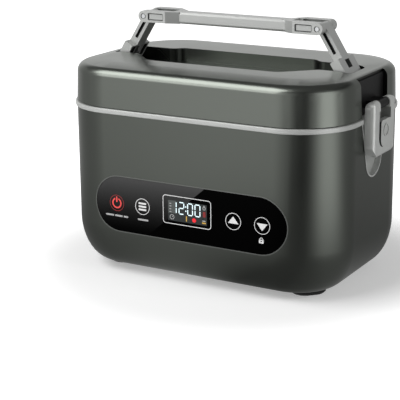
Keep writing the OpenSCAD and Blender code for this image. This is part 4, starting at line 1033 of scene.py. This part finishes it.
@dataclass
class Studio:
    """Pale floor, soft lamps, a cyclorama for the reflections and the camera.

    Attributes:
        azimuth: the camera's bearing, from the front towards the right, in degrees.
        elevation: its height angle in degrees.
        roll: its roll in degrees.
        distance: its distance from the point it looks at.
        aside: how far that point lies to the right of the box's middle.
        height: how high that point lies.
        lens: focal length in millimetres.
        sensor: width of the camera's sensor in millimetres.
        paper: half the floor's width in metres.
        world: strength of the even light from all sides.
        lamps: the soft lamps.
        cyclorama: the wall that only reflections see.
    """

    azimuth: float = 30.17
    elevation: float = 16.13
    roll: float = -0.5395
    distance: float = 1.071
    aside: float = -0.02894
    height: float = 0.05204
    lens: float = 117.9
    sensor: float = 36.0
    paper: float = 12.0
    world: float = 0.16
    lamps: list[Lamp] = field(default_factory=lambda: [
        Lamp("key_softbox", (-0.645, -0.769, 1.215), (1.2, 0.9), 14.5),
        Lamp("front_softbox", (-0.82, -1.31, 0.51), (1.0, 0.8), 5.5),
        Lamp("right_softbox", (1.3, -0.1, 0.75), (0.7, 0.5), 5.0, mirrored=False),
    ])
    cyclorama: Cyclorama = field(default_factory=lambda: Cyclorama(
        bearings=((-180, 0.4), (-160, 0.4), (-135, 0.5), (-124, 0.72), (-119, 0.88), (-104, 0.95),
                  (-95, 0.85), (-80, 0.55), (-69, 0.25), (-62, 0.05), (-44, 0.05), (-35, 0.6),
                  (-23, 1.75), (-6, 1.75), (5, 0.9), (14, 0.36), (30, 0.28), (60, 0.3), (95, 0.6),
                  (105, 0.9), (140, 0.9), (160, 0.5), (180, 0.4)),
        near_bearings=((-180, 0.2), (-135, 0.3), (-119, 0.4), (-104, 0.42), (-80, 0.3), (-62, 0.14),
                       (-44, 0.14), (-35, 0.2), (-23, 0.3), (-6, 0.3), (8, 0.24), (30, 0.2),
                       (90, 0.25), (180, 0.2)),
        rises=((0.0, 1.0), (0.56, 1.0), (0.68, 0.2), (1.0, 0.2)),
        spreads=((0.0, 0.0), (0.2, 0.0), (0.42, 1.0), (1.6, 1.0))))

    def camera(self) -> None:
        """Make the scene's camera."""
        az, el = math.radians(self.azimuth), math.radians(self.elevation)
        back = Vector((math.sin(az) * math.cos(el), -math.cos(az) * math.cos(el), math.sin(el)))
        right = Vector((math.cos(az), math.sin(az), 0))
        up = back.cross(right)
        turn = math.radians(self.roll)
        side = right * math.cos(turn) + up * math.sin(turn)
        above = up * math.cos(turn) - right * math.sin(turn)
        place = Vector((0, 0, self.height)) + right * self.aside + back * self.distance
        data = bpy.data.cameras.new("camera")
        data.sensor_width = self.sensor
        data.lens = self.lens
        data.clip_start, data.clip_end = 0.05, 50.0
        camera = show("camera", data)
        axes = Matrix((side, above, back)).transposed().to_4x4()
        camera.matrix_world = Matrix.Translation(place) @ axes
        bpy.context.scene.camera = camera

    def floor(self) -> None:
        """Pale floor, whose own light only the camera and clear reflections see; that light is weaker round
        the box, a painted shadow.
        """
        mesh = bmesh.new()
        bmesh.ops.create_grid(mesh, x_segments=1, y_segments=1, size=self.paper)
        data = settle(mesh, "floor")
        floor = show("floor", data)
        material = bpy.data.materials.new("floor_paper")
        material.use_nodes = True
        tree = material.node_tree
        shader = tree.nodes["Principled BSDF"]
        preset(shader, {"Base Color": (0.8, 0.8, 0.8, 1), "Roughness": 0.75, "Specular IOR Level": 0.2,
                        "Emission Color": (1, 1, 1, 1)})
        # Painted shadow: the floor's own light drops from Far to Near towards the middle, between End and
        # Start.
        made = GroupBuilder("floor_light", {"Near": 0.32, "Far": 1.0, "Start": 0.13, "End": 0.24},
                            ("Value",))
        place = made.node("ShaderNodeNewGeometry")
        flat = made.node("ShaderNodeVectorMath", operation="LENGTH")
        made.link(place.outputs["Position"], flat.inputs[0])
        rise = made.node("ShaderNodeMapRange", interpolation_type="SMOOTHSTEP")
        made.link(flat.outputs["Value"], rise.inputs["Value"])
        ends = {"From Min": "Start", "From Max": "End", "To Min": "Near", "To Max": "Far"}
        for key, name in ends.items():
            made.link(made.source.outputs[name], rise.inputs[key])
        made.link(rise.outputs["Result"], made.sink.inputs["Value"])
        light = tree.nodes.new("ShaderNodeGroup")
        light.node_tree = made.tree
        path = tree.nodes.new("ShaderNodeLightPath")
        strength = path.outputs["Is Camera Ray"]
        steps = (("MAXIMUM", path.outputs["Is Glossy Ray"]),
                 ("MAXIMUM", path.outputs["Is Transmission Ray"]),
                 ("MULTIPLY", light.outputs["Value"]))
        for operation, term in steps:
            step = tree.nodes.new("ShaderNodeMath")
            step.operation = operation
            tree.links.new(strength, step.inputs[0])
            tree.links.new(term, step.inputs[1])
            strength = step.outputs["Value"]
        tree.links.new(strength, shader.inputs["Emission Strength"])
        data.materials.append(material)

    def sky(self) -> None:
        """Even white light from all sides, which the camera sees as white paper."""
        world = bpy.data.worlds.new("studio")
        bpy.context.scene.world = world
        world.use_nodes = True
        shade = world.node_tree.nodes["Background"]
        shade.inputs["Color"].default_value = (1, 1, 1, 1)
        path = world.node_tree.nodes.new("ShaderNodeLightPath")
        level = world.node_tree.nodes.new("ShaderNodeMapRange")
        level.inputs["To Min"].default_value = self.world
        world.node_tree.links.new(path.outputs["Is Camera Ray"], level.inputs["Value"])
        world.node_tree.links.new(level.outputs["Result"], shade.inputs["Strength"])

    def build(self) -> None:
        """Make the whole studio."""
        self.camera()
        self.floor()
        self.sky()
        for lamp in self.lamps:
            lamp.build()
        self.cyclorama.build()
        bpy.context.scene.view_settings.view_transform = "Standard"


# ---------------------------------------------------------------- the lunch box


@dataclass
class LunchBox:
    """Every constructed piece with its finish.

    Attributes:
        frame: the loaded frame.
        castings: the nodes that are shown by softened copies.
        plain: the nodes that are shown as they are, by finish.
    """

    frame: dict
    castings: list[Casting] = field(default_factory=lambda: [
        Casting("outer_shell", "base", Finishes.BODY),
        # A reach given to a casting darkens its recesses with painted shade.
        Casting("rim_band", "base", Finishes.TRIM, shade_reach=8 * MM,
                cuts=(0.1, 0.104, 0.108, 0.112, 0.118, 0.124, 0.13)),
        Casting("base_cover", "base", Finishes.BLACK),
        Casting("panel_lens", "base", Finishes.LENS),
        Casting("panel_bezel", "base", Finishes.BEZEL),
        Casting("power_inlet", "base", Finishes.BLACK),
        Casting("heating_pan", "base", Finishes.PAN),
        Casting("food_container", "container", Finishes.PAN),
        Casting("lid_shell", "lid", Finishes.LID, shade_reach=45 * MM),
        Casting("lid_liner", "lid", Finishes.LINER),
        Casting("lid_gasket", "lid", Finishes.GASKET),
        Casting("grip_bar", "grip", Finishes.HANDLE, 0.4 * MM, shade_reach=2.5 * MM),
        *(made for side in ("left", "right") for made in (
            Casting(f"latch_bracket_{side}", "lid", Finishes.BRACKET),
            Casting(f"link_{side}", f"link_{side}", Finishes.HANDLE, 0.4 * MM, shade_reach=10 * MM),
            Casting(f"latch_frame_{side}", f"latch_{side}", Finishes.LATCH, 0.9 * MM, shade_reach=20 * MM),
            Casting(f"latch_tongue_{side}", f"latch_{side}", Finishes.LATCH, 0.3 * MM, shade_reach=6 * MM),
        )),
    ])
    plain: dict[Finishes, tuple[str, ...]] = field(default_factory=lambda: {
        Finishes.PIN: ("cover_screws", "heater_clamps", "board_screws", "inlet_pins", "lid_screws",
                       "grip_screws", "link_pin_left", "link_pin_right", "latch_pin_left",
                       "latch_pin_right", "slider_pin_left", "slider_pin_right"),
        Finishes.ALLOY: ("heating_plate", "temperature_sensor"),
        Finishes.CERAMIC: ("thermal_cutoff",),
        Finishes.BLACK: ("display_module", "board_posts"),
        Finishes.BOARD: ("control_board", "power_board"),
        Finishes.BRASS: ("touch_springs",),
        Finishes.WIRE: ("supply_leads", "heater_leads", "panel_ribbon"),
        Finishes.FELT: ("pan_insulation",),
        Finishes.RUBBER: ("foot_front_left", "foot_front_right", "foot_rear_left", "foot_rear_right"),
    })

    def build(self) -> None:
        """Dress every node."""
        nodes = self.frame["nodes"]
        near = {
            body: Closeness([nodes[other.node] for other in self.castings if other.body == body])
            for body in {casting.body for casting in self.castings}
        }
        for casting in self.castings:
            casting.build(nodes[casting.node], near[casting.body])
        for finish, names in self.plain.items():
            for name in names:
                finish.dress(nodes[name])


def main() -> None:
    """Build the lunch box and its studio round the constructed frame."""
    logging.basicConfig(level=logging.WARNING)
    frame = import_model()
    Studio().build()
    LunchBox(frame).build()
    low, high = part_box("slider_pin_right")
    GrooveShadeLines(pivot=(Vector(low) + Vector(high)) / 2, cheek=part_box("grip_bar")[1].y).build()
    PanelPrint(face_y=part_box("panel_lens")[0].y).build()


if __name__ == "__main__":
    main()
